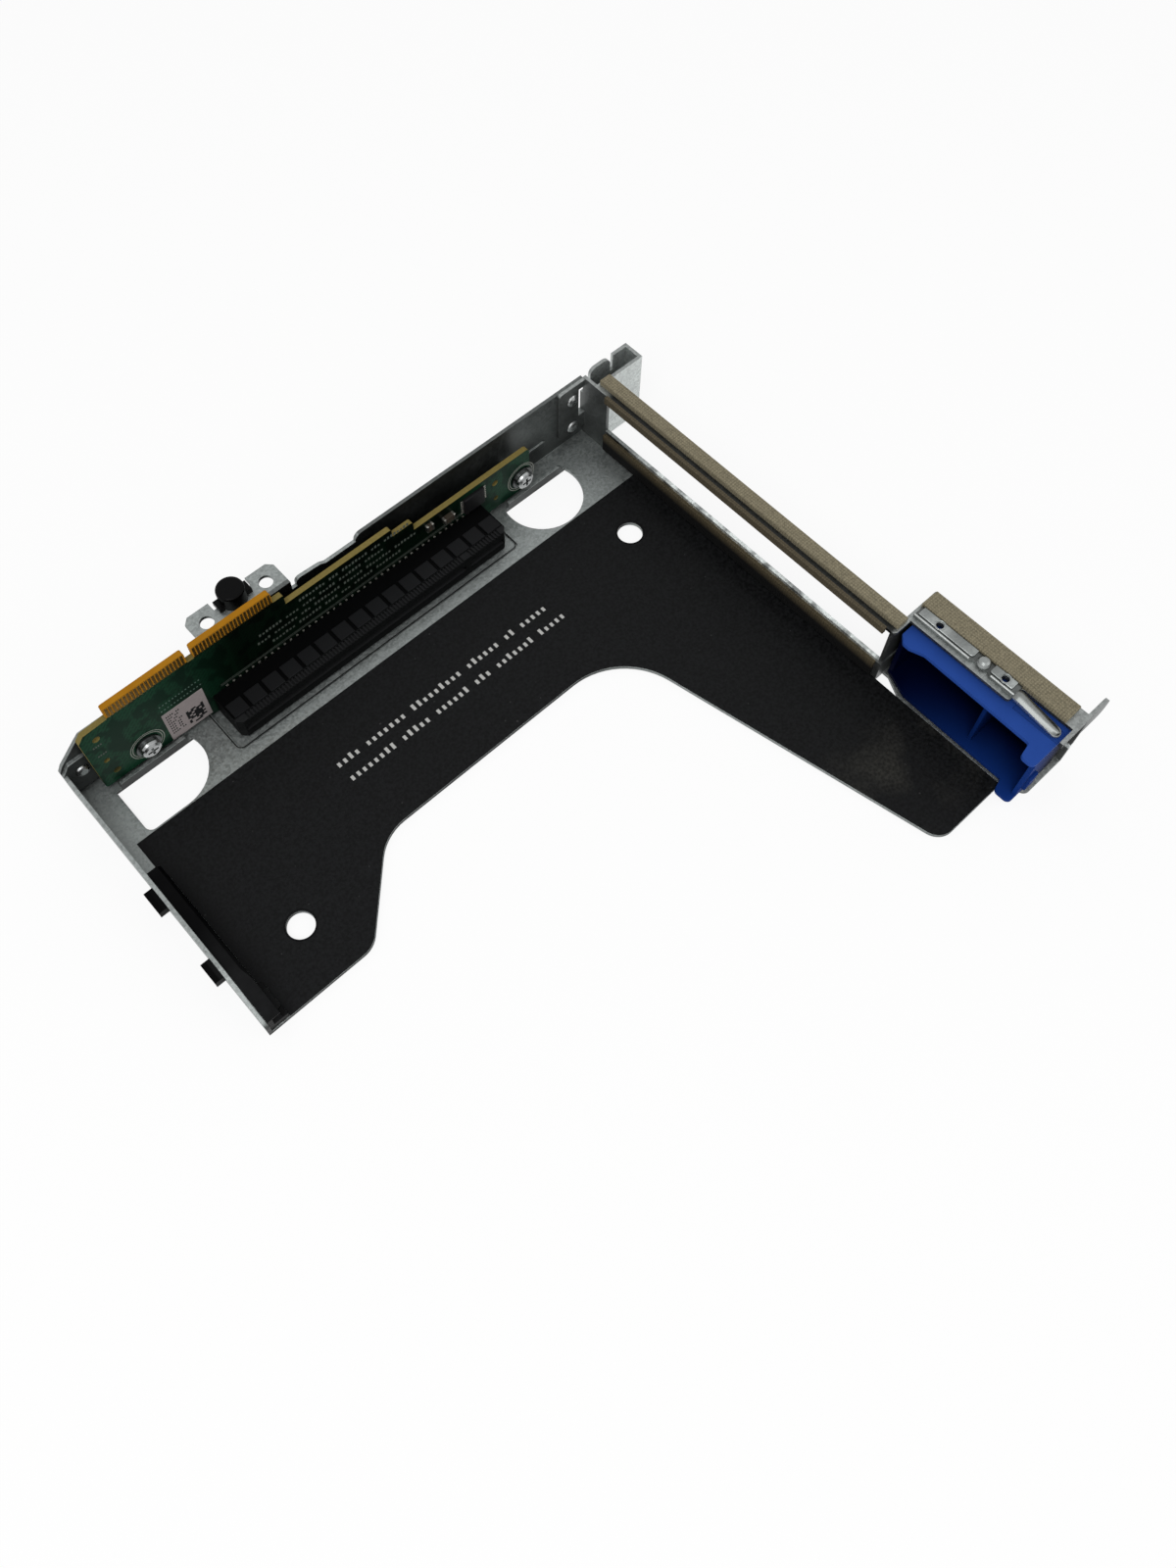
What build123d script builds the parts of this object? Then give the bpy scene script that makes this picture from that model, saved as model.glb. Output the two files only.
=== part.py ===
from build123d import *
import os

# A riser cage for a one-unit server, lying on its plate as it lies on a bench.
# Working frame, in millimetres: X runs along the back wall to the rear panel,
# Y = 0 is the inner face of the back wall with the arms towards -Y,
# and Z = 0 is the upper face of the base plate. The last step moves everything to the origin.

# Sheet metal and film
SHEET = 1.0
BEND_R = 1.2
FILM = 0.25
FILM_INSET = 0.12
FILM_GUIDE_GAP = 0.1

# Card slot along the back wall, and the length of the cage, which ends past it
SLOT_START = 40.2
SLOT_LENGTH = 89.0
SLOT_END = SLOT_START + SLOT_LENGTH
CAGE_LENGTH = SLOT_END + 42.8

# Base plate
LEFT_ARM_DEPTH = 81.3
LEFT_ARM_WIDTH = 30.4
LEFT_ARM_FLARE = 19.9
MIDDLE_DEPTH = 60.8
RIGHT_ARM_DEPTH = 153.6
RIGHT_ARM_TIP_WIDTH = 22.6
RIGHT_ARM_ROOT_WIDTH = 43.2
LEFT_TIP_R = 7.0
LEFT_INNER_R = 14.0
RIGHT_INNER_R = 20.0
RIGHT_TIP_R = 5.0
LOCATING_HOLE_R = 3.5
FILM_HOLE_R = 3.9
LEFT_HOLE = (20.9, -65.5)
RIGHT_HOLE = (CAGE_LENGTH - 15.1, -36.0)

# Windows in the plate, each with an upturned lip, and the pocket under the card slot
WINDOW_R = 11.6
WINDOW_BACK = 7.0
WINDOW_CENTRE_Y = -10.0
WINDOW_CORNER_R = 2.0
LEFT_WINDOW_X = 19.4
RIGHT_WINDOW_X = SLOT_END + 18.4
LIP_LENGTH = 20.0
LIP_HEIGHT = 2.0
POCKET_SINK = 0.4
POCKET_SIDE = 2.2
POCKET_FRONT = 1.95
POCKET_BACK_Y = -4.4

# Back wall and left flange
WALL_TALL = 22.2
WALL_LOW = 20.0
WALL_SLOPE_TOP = 18.7
WALL_TALL_START = 92.0
HUMP_START = 73.0
HUMP_WIDTH = 9.4
HUMP_TOP = 21.5
LEFT_FLANGE_HEIGHT = 10.0
LEFT_FLANGE_TIP_HEIGHT = 5.0
LEFT_FLANGE_SLOPE_Y = -66.0
RETURN_TAB = 7.0
RETURN_TAB_TOP = 13.2
CORNER_RIVET = (4.8, 7.9)
EMBOSS_X = CAGE_LENGTH - 17.7
EMBOSS_Z = 6.2
EMBOSS_LENGTH = 6.6
EMBOSS_WIDTH = 2.2
EMBOSS_RISE = 0.5

# Rear mounting flange, folded outwards from the top of the wall
REAR_FLANGE_START = 44.4
REAR_FLANGE_WIDTH = 27.1
REAR_FLANGE_DEPTH = 8.7
REAR_FLANGE_CHAMFER = 1.6
REAR_HOLE_SPACING = 18.0
REAR_HOLE_R = 1.9
REAR_HOLE_Y = 4.2
REAR_NOTCH_WIDTH = 11.3
REAR_NOTCH_DEPTH = 2.7
FLANGE_RELIEF = 1.2

# Guide post in the notch of the rear flange
POST_R = 3.7
POST_Y = 5.6
POST_RISE = 4.8
POST_SHANK_R = 2.4
POST_SHANK_DROP = 4.0
POST_WING_SPAN = 9.8
POST_WING_WIDTH = 3.2
POST_WING_THICK = 1.5

# Riser board
BOARD = 1.6
BOARD_GAP = 3.6
BOARD_START = 6.8
BOARD_END = SLOT_END + 18.0
BOARD_FOOT = 0.3
BOARD_END_LIFT = 1.3
BOARD_LEFT_TOP = 24.6
BOARD_SHOULDER = 27.0
BOARD_MIDDLE_TOP = 23.2
BOARD_STEP_TOP = 20.2
BOARD_RIGHT_TOP = 16.8
SHOULDER_END = 66.4
MIDDLE_END = SLOT_END - 29.2
STEP_END = SLOT_END - 22.4
BOARD_HOLES = ((10.8, 22.4, 1.0), (10.3, 12.1, 0.8), (11.2, 5.8, 1.0), (BOARD_END - 12.5, 12.3, 1.0),
               (BOARD_END - 12.5, 5.8, 0.8))

# Edge fingers at the top of the board, in two blocks
FINGER_BLOCKS = ((15.3, 38.0), (40.0, 63.2))
FINGER_TOP = 31.3
FINGER_PITCH = 1.0
FINGER_WIDTH = 0.7
FINGER_LENGTH = 3.8
FINGER_THICK = 0.05

# Board screws, washers and standoffs
SCREW_X = (20.5, BOARD_END - 3.2)
SCREW_Z = 7.2
SCREW_R = 1.5
SCREW_HEAD_R = 2.8
SCREW_HEAD = 1.9
SCREW_CROSS = 3.0
SCREW_CROSS_SLOT = 0.7
SCREW_TIP = 0.6
WASHER_R = 3.5
WASHER = 0.7
STANDOFF_R = 3.0

# Housing and contacts of the card slot
SLOT_HEIGHT = 7.3
SLOT_DEPTH = 11.25
SLOT_BEVEL = 1.4
MOUTH_WIDTH = 1.8
MOUTH_DEPTH = 8.0
MOUTH_END = 1.6
KEY_WIDTH = 1.6
KEY_FROM_END = 14.2
CONTACT_PITCH = 1.0
CONTACT_MARGIN = 1.0
CONTACT_FROM_KEY = 1.5
CONTACT_WIDTH = 0.5
CONTACT_THICK = 0.25
CONTACT_SETBACK = 1.6
RIB_DEPTH = 0.4
RIB_REACH = 2.0
BLOCK_COUNT = 16
BLOCK_LENGTH = 3.6
BLOCK_DEPTH = 3.4
BLOCK_RISE = 0.5
TAIL_PITCH = 2.0
TAIL_MARGIN = 4.0
TAIL_WIDTH = 0.6
TAIL_RISE = 0.35

# Small parts on the board: X, Z, length, height, thickness
CHIP = (SLOT_END - 2.4, 12.0, 7.0, 6.0, 1.0)
CAPACITORS = ((SLOT_END - 17.8, 14.2, 1.7, 2.4, 1.1), (SLOT_END - 11.5, 12.7, 3.2, 2.0, 1.4))
LABEL = (32.5, 7.8, 12.0, 12.5, 0.12)

# Rear panel bracket
WINDOW_START = 9.8
LOWER_RAIL = 8.1
FLANGE_Z = 21.4
RAIL_REACH = 6.0
RAIL_PAST_SHELF = 1.5
SIDE_TAB = 9.8
SIDE_TAB_BOTTOM = 3.6
CORNER_SLIT = 2.4
CORNER_SLIT_Z = (9.0, 19.8)
RIVET_R = 1.3
RIVET_HEAD_R = 2.0
RIVET_HEAD = 0.7
RIVET_TAIL_R = 1.7
RIVET_TAIL = 0.4
BRACKET_RIVET_INSET = 4.6
BRACKET_RIVET_Z = (6.0, 16.9)
CHANNEL_REACH = 16.3
CHANNEL_DEPTH = 4.7
CHANNEL_SLIT = 1.9
CHANNEL_TOP = 22.6
BAY_LENGTH = 48.1
BAY_PAST_ARM = 6.0
BAY_REACH = 16.2
BAY_FLANGE_REACH = 6.0
BAY_NOTCH = 32.0
BAY_FLOOR_CHAMFER = ((3.0, -3.0), (0.0, -9.0))
HEM_HEIGHT = 1.8
EAR_REACH = 8.2
EAR_HEIGHT = 8.4
EAR_R = 3.0

# Tapes that close the joints of the rear panel
GASKET_RISE = 1.6
RAIL_GASKET = (1.6, 5.2)
WINDOW_GASKET = 1.1
WINDOW_GASKET_Z = (20.6, 22.9)
LOWER_GASKET = 1.0
LOWER_GASKET_Z = (1.0, 7.0)
BAY_GASKET_REACH = 11.1
BAY_GASKET_WIDTH = 4.4

# Card latch in the bay, its pin and its leaf spring
LATCH_WALL = 1.2
LATCH_Z = (0.6, 20.2)
LATCH_SIDE_GAP = 0.2
LATCH_NOSE_GAP = 2.0
LATCH_END_GAP = 0.3
LATCH_DIVIDER = 29.5
LATCH_TOP_EDGE = ((3.0, -2.0, 0.0), (1.0, -3.9, 1.2), (1.0, -5.9, 1.5), (2.4, -9.7, 2.0), (2.0, -42.1, 0.8),
                  (-2.4, -42.9, 1.4), (-2.4, -46.8, 1.4))
LATCH_FLOOR_EDGE = ((3.5, -2.0, 0.0), (0.7, -9.5, 2.0), (0.5, -41.3, 0.8), (-3.3, -42.3, 1.4), (-3.3, -46.8, 1.4))
HOOK_REACH = (0.0, 3.0)
HOOK_Z = (5.0, 11.0)
HOOK_RISE = 0.9
PIN_R = 1.0
PIN_CLEARANCE = 0.1
HUB_R = 2.6
GROOVE_DEPTH = 0.4
SPRING_SHEET = 0.8
SPRING_REACH = 7.3
FINGER_REACH = (6.9, 9.9)
FINGER_TIP_SETBACK = 0.9
FINGER_TIP_Z = 20.4
SPRING_HOLE_R = 1.2
SPRING_HOLES = (7.5, 27.9)
DOME_FROM_SHELF = 21.5
DOME_R = 1.8
DOME_RISE = 1.3

# Black guide for the far end of the card, clipped into the left flange
GUIDE_Y = (-81.0, -34.6)
GUIDE_BACK = 1.3
GUIDE_LIP = 3.6
GUIDE_FOOT = 3.9
GUIDE_WIDE_FOOT = 5.0
GUIDE_WIDE_FOOT_Y = -71.0
GUIDE_HEIGHT = 9.0
CARD_GROOVE = 2.2
GUIDE_LEAD = 1.6
LUGS_Y = ((-44.5, -38.1), (-66.8, -61.0))
LUG_Z = (6.0, 8.5)
LUG_REACH = 2.4

# Worked-out places
BOARD_BACK = -BOARD_GAP
BOARD_FACE = BOARD_BACK - BOARD
SLOT_FACE = BOARD_FACE - SLOT_DEPTH
SLOT_TOP = BOARD_FOOT + SLOT_HEIGHT
SLOT_CENTRE = BOARD_FOOT + SLOT_HEIGHT / 2
KEY_X = SLOT_END - KEY_FROM_END
SIDE_BEFORE_KEY = KEY_X - CONTACT_FROM_KEY - SLOT_START - MOUTH_END - CONTACT_MARGIN
SIDE_AFTER_KEY = KEY_FROM_END - CONTACT_FROM_KEY - MOUTH_END - CONTACT_MARGIN
CONTACTS_BEFORE_KEY = int(SIDE_BEFORE_KEY / CONTACT_PITCH) + 1
CONTACTS_AFTER_KEY = int(SIDE_AFTER_KEY / CONTACT_PITCH) + 1
TAIL_COUNT = int((SLOT_LENGTH - 2 * TAIL_MARGIN) / TAIL_PITCH) + 1
REAR_FLANGE_END = REAR_FLANGE_START + REAR_FLANGE_WIDTH
REAR_FLANGE_MIDDLE = REAR_FLANGE_START + REAR_FLANGE_WIDTH / 2
PANEL_OUTER = CAGE_LENGTH + SHEET
FLANGE_TOP = FLANGE_Z + SHEET
CHANNEL_OUT = PANEL_OUTER + CHANNEL_REACH
BAY_WALL = CAGE_LENGTH + BAY_REACH
BAY_OUT = BAY_WALL + SHEET
BAY_END = RIGHT_ARM_DEPTH + BAY_PAST_ARM
SHELF_Y = BAY_LENGTH - BAY_END
BAY_FLANGE_EDGE = CAGE_LENGTH + BAY_FLANGE_REACH
BAY_NOTCH_Y = SHELF_Y - BAY_NOTCH
BAY_GASKET_EDGE = CAGE_LENGTH + BAY_GASKET_REACH
BRACKET_RIVET_X = CAGE_LENGTH - BRACKET_RIVET_INSET
LATCH_SIDE = BAY_WALL - LATCH_SIDE_GAP
LATCH_NOSE = SHELF_Y - LATCH_NOSE_GAP
LATCH_END = SHEET + LATCH_END_GAP - BAY_END
LATCH_DIVIDER_Y = SHELF_Y - LATCH_DIVIDER
HOOK_X = tuple(CAGE_LENGTH + reach for reach in HOOK_REACH)
PIN_X = LATCH_SIDE - HUB_R
PIN_Y = LATCH_END + HUB_R
SPRING_EDGE = CAGE_LENGTH + SPRING_REACH
FINGER_EDGE = tuple(CAGE_LENGTH + reach for reach in FINGER_REACH)
FINGER_TIP_Y = LATCH_END + FINGER_TIP_SETBACK
SPRING_HOLES_Y = tuple(SHELF_Y - hole for hole in SPRING_HOLES)
DOME_X = (SPRING_EDGE + BAY_GASKET_EDGE) / 2
DOME_Y = SHELF_Y - DOME_FROM_SHELF


def span(x, y, z):
    """A box between two values on each axis."""
    size = [high - low for low, high in (x, y, z)]
    return Pos(x[0], y[0], z[0]) * Box(*size, align=(Align.MIN, Align.MIN, Align.MIN))


def outline(corners):
    """A flat face from corners given as (x, y) or (x, y, corner radius)."""
    face = make_face(Polyline([corner[:2] for corner in corners], close=True))
    for x, y, radius in [corner for corner in corners if len(corner) == 3 and corner[2]]:
        face = fillet(face.vertices().sort_by_distance((x, y, 0))[:1], radius)
    return face


def lay_flat(face, low, high):
    """Thickens a face drawn in XY between two heights."""
    return Pos(0, 0, low) * extrude(face, high - low)


def stand_along(face, low, high):
    """Thickens a face drawn in XZ between two Y values."""
    return Pos(0, high, 0) * extrude(Plane.XZ * face, high - low)


def stand_across(face, low, high):
    """Thickens a face drawn in YZ between two X values."""
    return Pos(low, 0, 0) * extrude(Plane.YZ * face, high - low)


def post_up(x, y, z, radius):
    """A vertical cylinder between two heights."""
    return lay_flat(Pos(x, y) * Circle(radius), *z)


def rod_along(x, z, y, radius):
    """A cylinder along Y between two Y values."""
    return stand_along(Pos(x, z) * Circle(radius), *y)


def turned(profile, x, z):
    """A round piece about an axis along Y, from its (radius, y) corners."""
    return Pos(x, 0, z) * revolve(make_face(Polyline(profile, close=True)), Axis.Y)


def turned_up(profile, x, y):
    """A round piece about a vertical axis, from its (radius, z) corners."""
    return Pos(x, y, 0) * revolve(Plane.XZ * make_face(Polyline(profile, close=True)), Axis.Z)


def edges_at(part, axis, x=None, y=None, z=None):
    """Edges along an axis whose middles have the given coordinates."""
    def matches(edge):
        middle = edge.center()
        wanted = ((middle.X, x), (middle.Y, y), (middle.Z, z))
        return all(value is None or abs(place - value) < 0.01 for place, value in wanted)

    return part.edges().filter_by(axis).filter_by(matches)


def plate_face():
    """The base plate seen from above: two arms around the space for the card."""
    tip_x = CAGE_LENGTH - RIGHT_ARM_TIP_WIDTH
    root_x = CAGE_LENGTH - RIGHT_ARM_ROOT_WIDTH
    return outline([
        (0, SHEET),
        (0, -LEFT_ARM_DEPTH),
        (LEFT_ARM_WIDTH, -LEFT_ARM_DEPTH, LEFT_TIP_R),
        (LEFT_ARM_WIDTH + LEFT_ARM_FLARE, -MIDDLE_DEPTH, LEFT_INNER_R),
        (root_x, -MIDDLE_DEPTH, RIGHT_INNER_R),
        (tip_x, -RIGHT_ARM_DEPTH, RIGHT_TIP_R),
        (CAGE_LENGTH, -RIGHT_ARM_DEPTH),
        (CAGE_LENGTH, SHEET),
    ])


def wall_face():
    """The back wall seen from the front: slope, rear flange, hump and tall part."""
    relief = WALL_LOW - FLANGE_RELIEF
    hump_end = HUMP_START + HUMP_WIDTH
    return outline([
        (0, -SHEET),
        (CAGE_LENGTH, -SHEET),
        (CAGE_LENGTH, WALL_TALL),
        (WALL_TALL_START, WALL_TALL, WALL_TALL - WALL_LOW),
        (WALL_TALL_START, WALL_LOW),
        (hump_end, WALL_LOW),
        (hump_end - 1.8, HUMP_TOP - 0.6, 1.0),
        (HUMP_START, HUMP_TOP, 1.5),
        (HUMP_START, relief),
        (REAR_FLANGE_END, relief),
        (REAR_FLANGE_END, WALL_TALL),
        (REAR_FLANGE_START, WALL_TALL),
        (REAR_FLANGE_START, relief),
        (REAR_FLANGE_START - FLANGE_RELIEF, relief),
        (REAR_FLANGE_START - FLANGE_RELIEF, WALL_LOW),
        (8.6, WALL_LOW),
        (7.1, WALL_SLOPE_TOP),
        (1.2, 13.0),
        (0, 11.0),
    ])


def rear_flange():
    """The folded-out flange with two holes and the notch for the guide post."""
    left, right = REAR_FLANGE_START, REAR_FLANGE_END
    notch_left = REAR_FLANGE_MIDDLE - REAR_NOTCH_WIDTH / 2
    notch_right = REAR_FLANGE_MIDDLE + REAR_NOTCH_WIDTH / 2
    depth = REAR_FLANGE_DEPTH
    face = outline([
        (left, 0), (right, 0), (right, depth - REAR_FLANGE_CHAMFER), (right - REAR_FLANGE_CHAMFER, depth),
        (notch_right, depth), (notch_right, depth - REAR_NOTCH_DEPTH),
        (notch_left, depth - REAR_NOTCH_DEPTH), (notch_left, depth),
        (left + REAR_FLANGE_CHAMFER, depth), (left, depth - REAR_FLANGE_CHAMFER),
    ])
    thick = (WALL_TALL - SHEET, WALL_TALL)
    flange = lay_flat(face, *thick)
    for side in (-0.5, 0.5):
        flange -= post_up(REAR_FLANGE_MIDDLE + side * REAR_HOLE_SPACING, REAR_HOLE_Y, thick, REAR_HOLE_R)
    return flange - post_up(REAR_FLANGE_MIDDLE, POST_Y, thick, POST_SHANK_R)


def left_flange():
    """The upturned left edge, lower towards its front end, with the slots for the guide's lugs."""
    profile = outline([
        (SHEET, -SHEET), (-LEFT_ARM_DEPTH, -SHEET), (-LEFT_ARM_DEPTH, LEFT_FLANGE_TIP_HEIGHT, 2.0),
        (LEFT_FLANGE_SLOPE_Y, LEFT_FLANGE_HEIGHT, 6.0), (SHEET, LEFT_FLANGE_HEIGHT),
    ])
    flange = stand_across(profile, 0, SHEET)
    for lug_y in LUGS_Y:
        flange -= span((0, SHEET), lug_y, LUG_Z)
    return flange


def return_tab():
    """The tab of the left flange that laps the wall."""
    face = outline([
        (0, SHEET), (SHEET + RETURN_TAB, SHEET, 1.0), (SHEET + RETURN_TAB, RETURN_TAB_TOP, 2.0),
        (2.4, RETURN_TAB_TOP, 1.0), (0, LEFT_FLANGE_HEIGHT),
    ])
    return stand_along(face, -SHEET, 0)


def window_cutters():
    """The two windows of the plate: one round, the other with a square left half."""
    front = WINDOW_CENTRE_Y - WINDOW_R
    deep = (-2 * SHEET, SHEET)
    cutters = []
    for x in (LEFT_WINDOW_X, RIGHT_WINDOW_X):
        band = span((x - WINDOW_R, x + WINDOW_R), (front, -WINDOW_BACK), deep)
        cutters.append(post_up(x, WINDOW_CENTRE_Y, deep, WINDOW_R) & band)
    left = LEFT_WINDOW_X - WINDOW_R
    square = outline([
        (left, -WINDOW_BACK), (LEFT_WINDOW_X, -WINDOW_BACK), (LEFT_WINDOW_X, front),
        (left, front, WINDOW_CORNER_R),
    ])
    cutters.append(lay_flat(square, *deep))
    return cutters


def pocket_cutter():
    """The shallow pocket in the plate under the card slot."""
    left, right = SLOT_START - POCKET_SIDE, SLOT_END + POCKET_SIDE
    front = SLOT_FACE - POCKET_FRONT
    face = outline([
        (left, front, 1.0), (right, front, 1.0), (right, POCKET_BACK_Y, 1.0), (left, POCKET_BACK_Y, 1.0),
    ])
    return lay_flat(face, -POCKET_SINK, SHEET)


def make_tray():
    """Base plate, back wall, left flange and rear flange in one folded sheet."""
    tray = lay_flat(plate_face(), -SHEET, 0) + stand_along(wall_face(), 0, SHEET) + left_flange()
    tray = fillet(edges_at(tray, Axis.X, y=SHEET, z=-SHEET), BEND_R)
    tray += rear_flange() + return_tab()
    for cutter in window_cutters():
        tray -= cutter
    tray -= pocket_cutter()
    for x, y in (LEFT_HOLE, RIGHT_HOLE):
        tray -= post_up(x, y, (-SHEET, 0), LOCATING_HOLE_R)
    for x in (LEFT_WINDOW_X, RIGHT_WINDOW_X):
        across = (x - LIP_LENGTH / 2, x + LIP_LENGTH / 2)
        lip = span(across, (-WINDOW_BACK, SHEET - WINDOW_BACK), (-SHEET / 2, LIP_HEIGHT))
        tray += fillet(edges_at(lip, Axis.Y, z=LIP_HEIGHT), 0.9)
    emboss = Pos(EMBOSS_X, EMBOSS_Z) * SlotOverall(EMBOSS_LENGTH, EMBOSS_WIDTH)
    tray += stand_along(emboss, -EMBOSS_RISE, 0)
    for x in SCREW_X:
        tray -= rod_along(x, SCREW_Z, (0, SHEET), SCREW_R)
    tray -= rod_along(*CORNER_RIVET, (-SHEET, SHEET), RIVET_R)
    for z in BRACKET_RIVET_Z:
        tray -= rod_along(BRACKET_RIVET_X, z, (0, SHEET), RIVET_R)
    return tray - span((CAGE_LENGTH - CORNER_SLIT, CAGE_LENGTH), (0, SHEET), CORNER_SLIT_Z)


def make_film():
    """Black insulating film over the front part of the plate and both arms."""
    back = WINDOW_CENTRE_Y - WINDOW_R - 0.5
    film = lay_flat(offset(plate_face(), -FILM_INSET), 0, FILM)
    film &= span((3.8, CAGE_LENGTH), (-RIGHT_ARM_DEPTH, back), (0, FILM))
    gap = FILM_GUIDE_GAP
    film -= span((0, SHEET + GUIDE_FOOT + gap), (-LEFT_ARM_DEPTH, GUIDE_Y[1] + gap), (0, FILM))
    film -= span((0, SHEET + GUIDE_WIDE_FOOT + gap), (-LEFT_ARM_DEPTH, GUIDE_WIDE_FOOT_Y + gap), (0, FILM))
    for x, y in (LEFT_HOLE, RIGHT_HOLE):
        film -= post_up(x, y, (0, FILM), FILM_HOLE_R)
    return film


def board_face():
    """The riser board seen from the front, with both blocks of edge fingers."""
    lifted = BOARD_FOOT + BOARD_END_LIFT
    foot_left, foot_right = SLOT_START - POCKET_SIDE, SLOT_END + POCKET_SIDE
    (a_left, a_right), (b_left, b_right) = FINGER_BLOCKS
    return outline([
        (BOARD_START, lifted, 0.8), (foot_left, lifted), (foot_left, BOARD_FOOT), (foot_right, BOARD_FOOT),
        (foot_right + 1.3, lifted), (BOARD_END - 3.5, lifted), (BOARD_END, lifted + 3.0),
        (BOARD_END, BOARD_RIGHT_TOP, 1.2), (STEP_END, BOARD_RIGHT_TOP), (STEP_END, BOARD_STEP_TOP, 0.8),
        (MIDDLE_END, BOARD_STEP_TOP), (MIDDLE_END, BOARD_MIDDLE_TOP, 0.8),
        (SHOULDER_END, BOARD_MIDDLE_TOP), (SHOULDER_END, BOARD_SHOULDER, 0.5),
        (b_right, BOARD_SHOULDER), (b_right, FINGER_TOP, 0.6), (b_left, FINGER_TOP, 0.6),
        (b_left, BOARD_SHOULDER), (a_right, BOARD_SHOULDER), (a_right, FINGER_TOP, 0.6),
        (a_left, FINGER_TOP, 0.6), (a_left, BOARD_SHOULDER), (BOARD_START + 1.7, BOARD_SHOULDER - 0.4),
        (BOARD_START, BOARD_LEFT_TOP),
    ])


def make_board():
    """Riser board with its screw holes and tooling holes."""
    board = stand_along(board_face(), BOARD_FACE, BOARD_BACK)
    for x in SCREW_X:
        board -= rod_along(x, SCREW_Z, (BOARD_FACE, BOARD_BACK), SCREW_R)
    for x, z, radius in BOARD_HOLES:
        board -= rod_along(x, z, (BOARD_FACE, BOARD_BACK), radius)
    return board


def make_fingers():
    """Gold pads on both faces of the two edge blocks."""
    tall = (FINGER_TOP - 0.3 - FINGER_LENGTH, FINGER_TOP - 0.3)
    pads = []
    for left, right in FINGER_BLOCKS:
        count = int((right - left) / FINGER_PITCH)
        first = (left + right - (count - 1) * FINGER_PITCH) / 2
        for number in range(count):
            x = first + number * FINGER_PITCH
            across = (x - FINGER_WIDTH / 2, x + FINGER_WIDTH / 2)
            pads.append(span(across, (BOARD_FACE - FINGER_THICK, BOARD_FACE), tall))
            pads.append(span(across, (BOARD_BACK, BOARD_BACK + FINGER_THICK), tall))
    return Compound(pads)


def contact_places():
    """X of every contact, on both sides of the key bar."""
    left = [KEY_X - CONTACT_FROM_KEY - number * CONTACT_PITCH for number in range(CONTACTS_BEFORE_KEY)]
    right = [KEY_X + CONTACT_FROM_KEY + number * CONTACT_PITCH for number in range(CONTACTS_AFTER_KEY)]
    return left + right


def make_slot():
    """Slot housing: mouth with its key bar, ribs along the front edge and raised blocks."""
    body = span((SLOT_START, SLOT_END), (SLOT_FACE, BOARD_FACE), (BOARD_FOOT, SLOT_TOP))
    body = chamfer(edges_at(body, Axis.Z, y=SLOT_FACE), SLOT_BEVEL)
    height = (SLOT_CENTRE - MOUTH_WIDTH / 2, SLOT_CENTRE + MOUTH_WIDTH / 2)
    depth = (SLOT_FACE, SLOT_FACE + MOUTH_DEPTH)
    body -= span((SLOT_START + MOUTH_END, KEY_X - KEY_WIDTH / 2), depth, height)
    body -= span((KEY_X + KEY_WIDTH / 2, SLOT_END - MOUTH_END), depth, height)
    half = CONTACT_WIDTH / 2
    body -= [span((x - half, x + half), (SLOT_FACE, SLOT_FACE + RIB_REACH), (SLOT_TOP - RIB_DEPTH, SLOT_TOP))
             for x in contact_places()]
    pitch = SLOT_LENGTH / BLOCK_COUNT
    front = SLOT_FACE + RIB_REACH + 0.6
    for number in range(BLOCK_COUNT):
        x = SLOT_START + (number + 0.5) * pitch
        body += span((x - BLOCK_LENGTH / 2, x + BLOCK_LENGTH / 2), (front, front + BLOCK_DEPTH),
                     (SLOT_TOP, SLOT_TOP + BLOCK_RISE))
    return body


def make_contacts():
    """Spring contacts along both walls of the mouth."""
    half = CONTACT_WIDTH / 2
    deep = (SLOT_FACE + CONTACT_SETBACK, SLOT_FACE + MOUTH_DEPTH)
    low, high = SLOT_CENTRE - MOUTH_WIDTH / 2, SLOT_CENTRE + MOUTH_WIDTH / 2
    leaves = []
    for x in contact_places():
        leaves.append(span((x - half, x + half), deep, (low, low + CONTACT_THICK)))
        leaves.append(span((x - half, x + half), deep, (high - CONTACT_THICK, high)))
    return Compound(leaves)


def make_tails():
    """Solder points of the contact tails, in a row above the housing."""
    half = TAIL_WIDTH / 2
    first = SLOT_START + (SLOT_LENGTH - (TAIL_COUNT - 1) * TAIL_PITCH) / 2
    z = SLOT_TOP + half + 0.3
    return Compound([span((x - half, x + half), (BOARD_FACE - TAIL_RISE, BOARD_FACE), (z - half, z + half))
                     for x in [first + number * TAIL_PITCH for number in range(TAIL_COUNT)]])


def make_standoffs():
    """Two threaded standoffs between the wall and the board."""
    return Compound([rod_along(x, SCREW_Z, (BOARD_BACK, 0), STANDOFF_R)
                     - rod_along(x, SCREW_Z, (BOARD_BACK, 0), SCREW_R) for x in SCREW_X])


def make_washers():
    """A flat washer under each screw head."""
    thick = (BOARD_FACE - WASHER, BOARD_FACE)
    return Compound([rod_along(x, SCREW_Z, thick, WASHER_R) - rod_along(x, SCREW_Z, thick, SCREW_R)
                     for x in SCREW_X])


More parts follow.
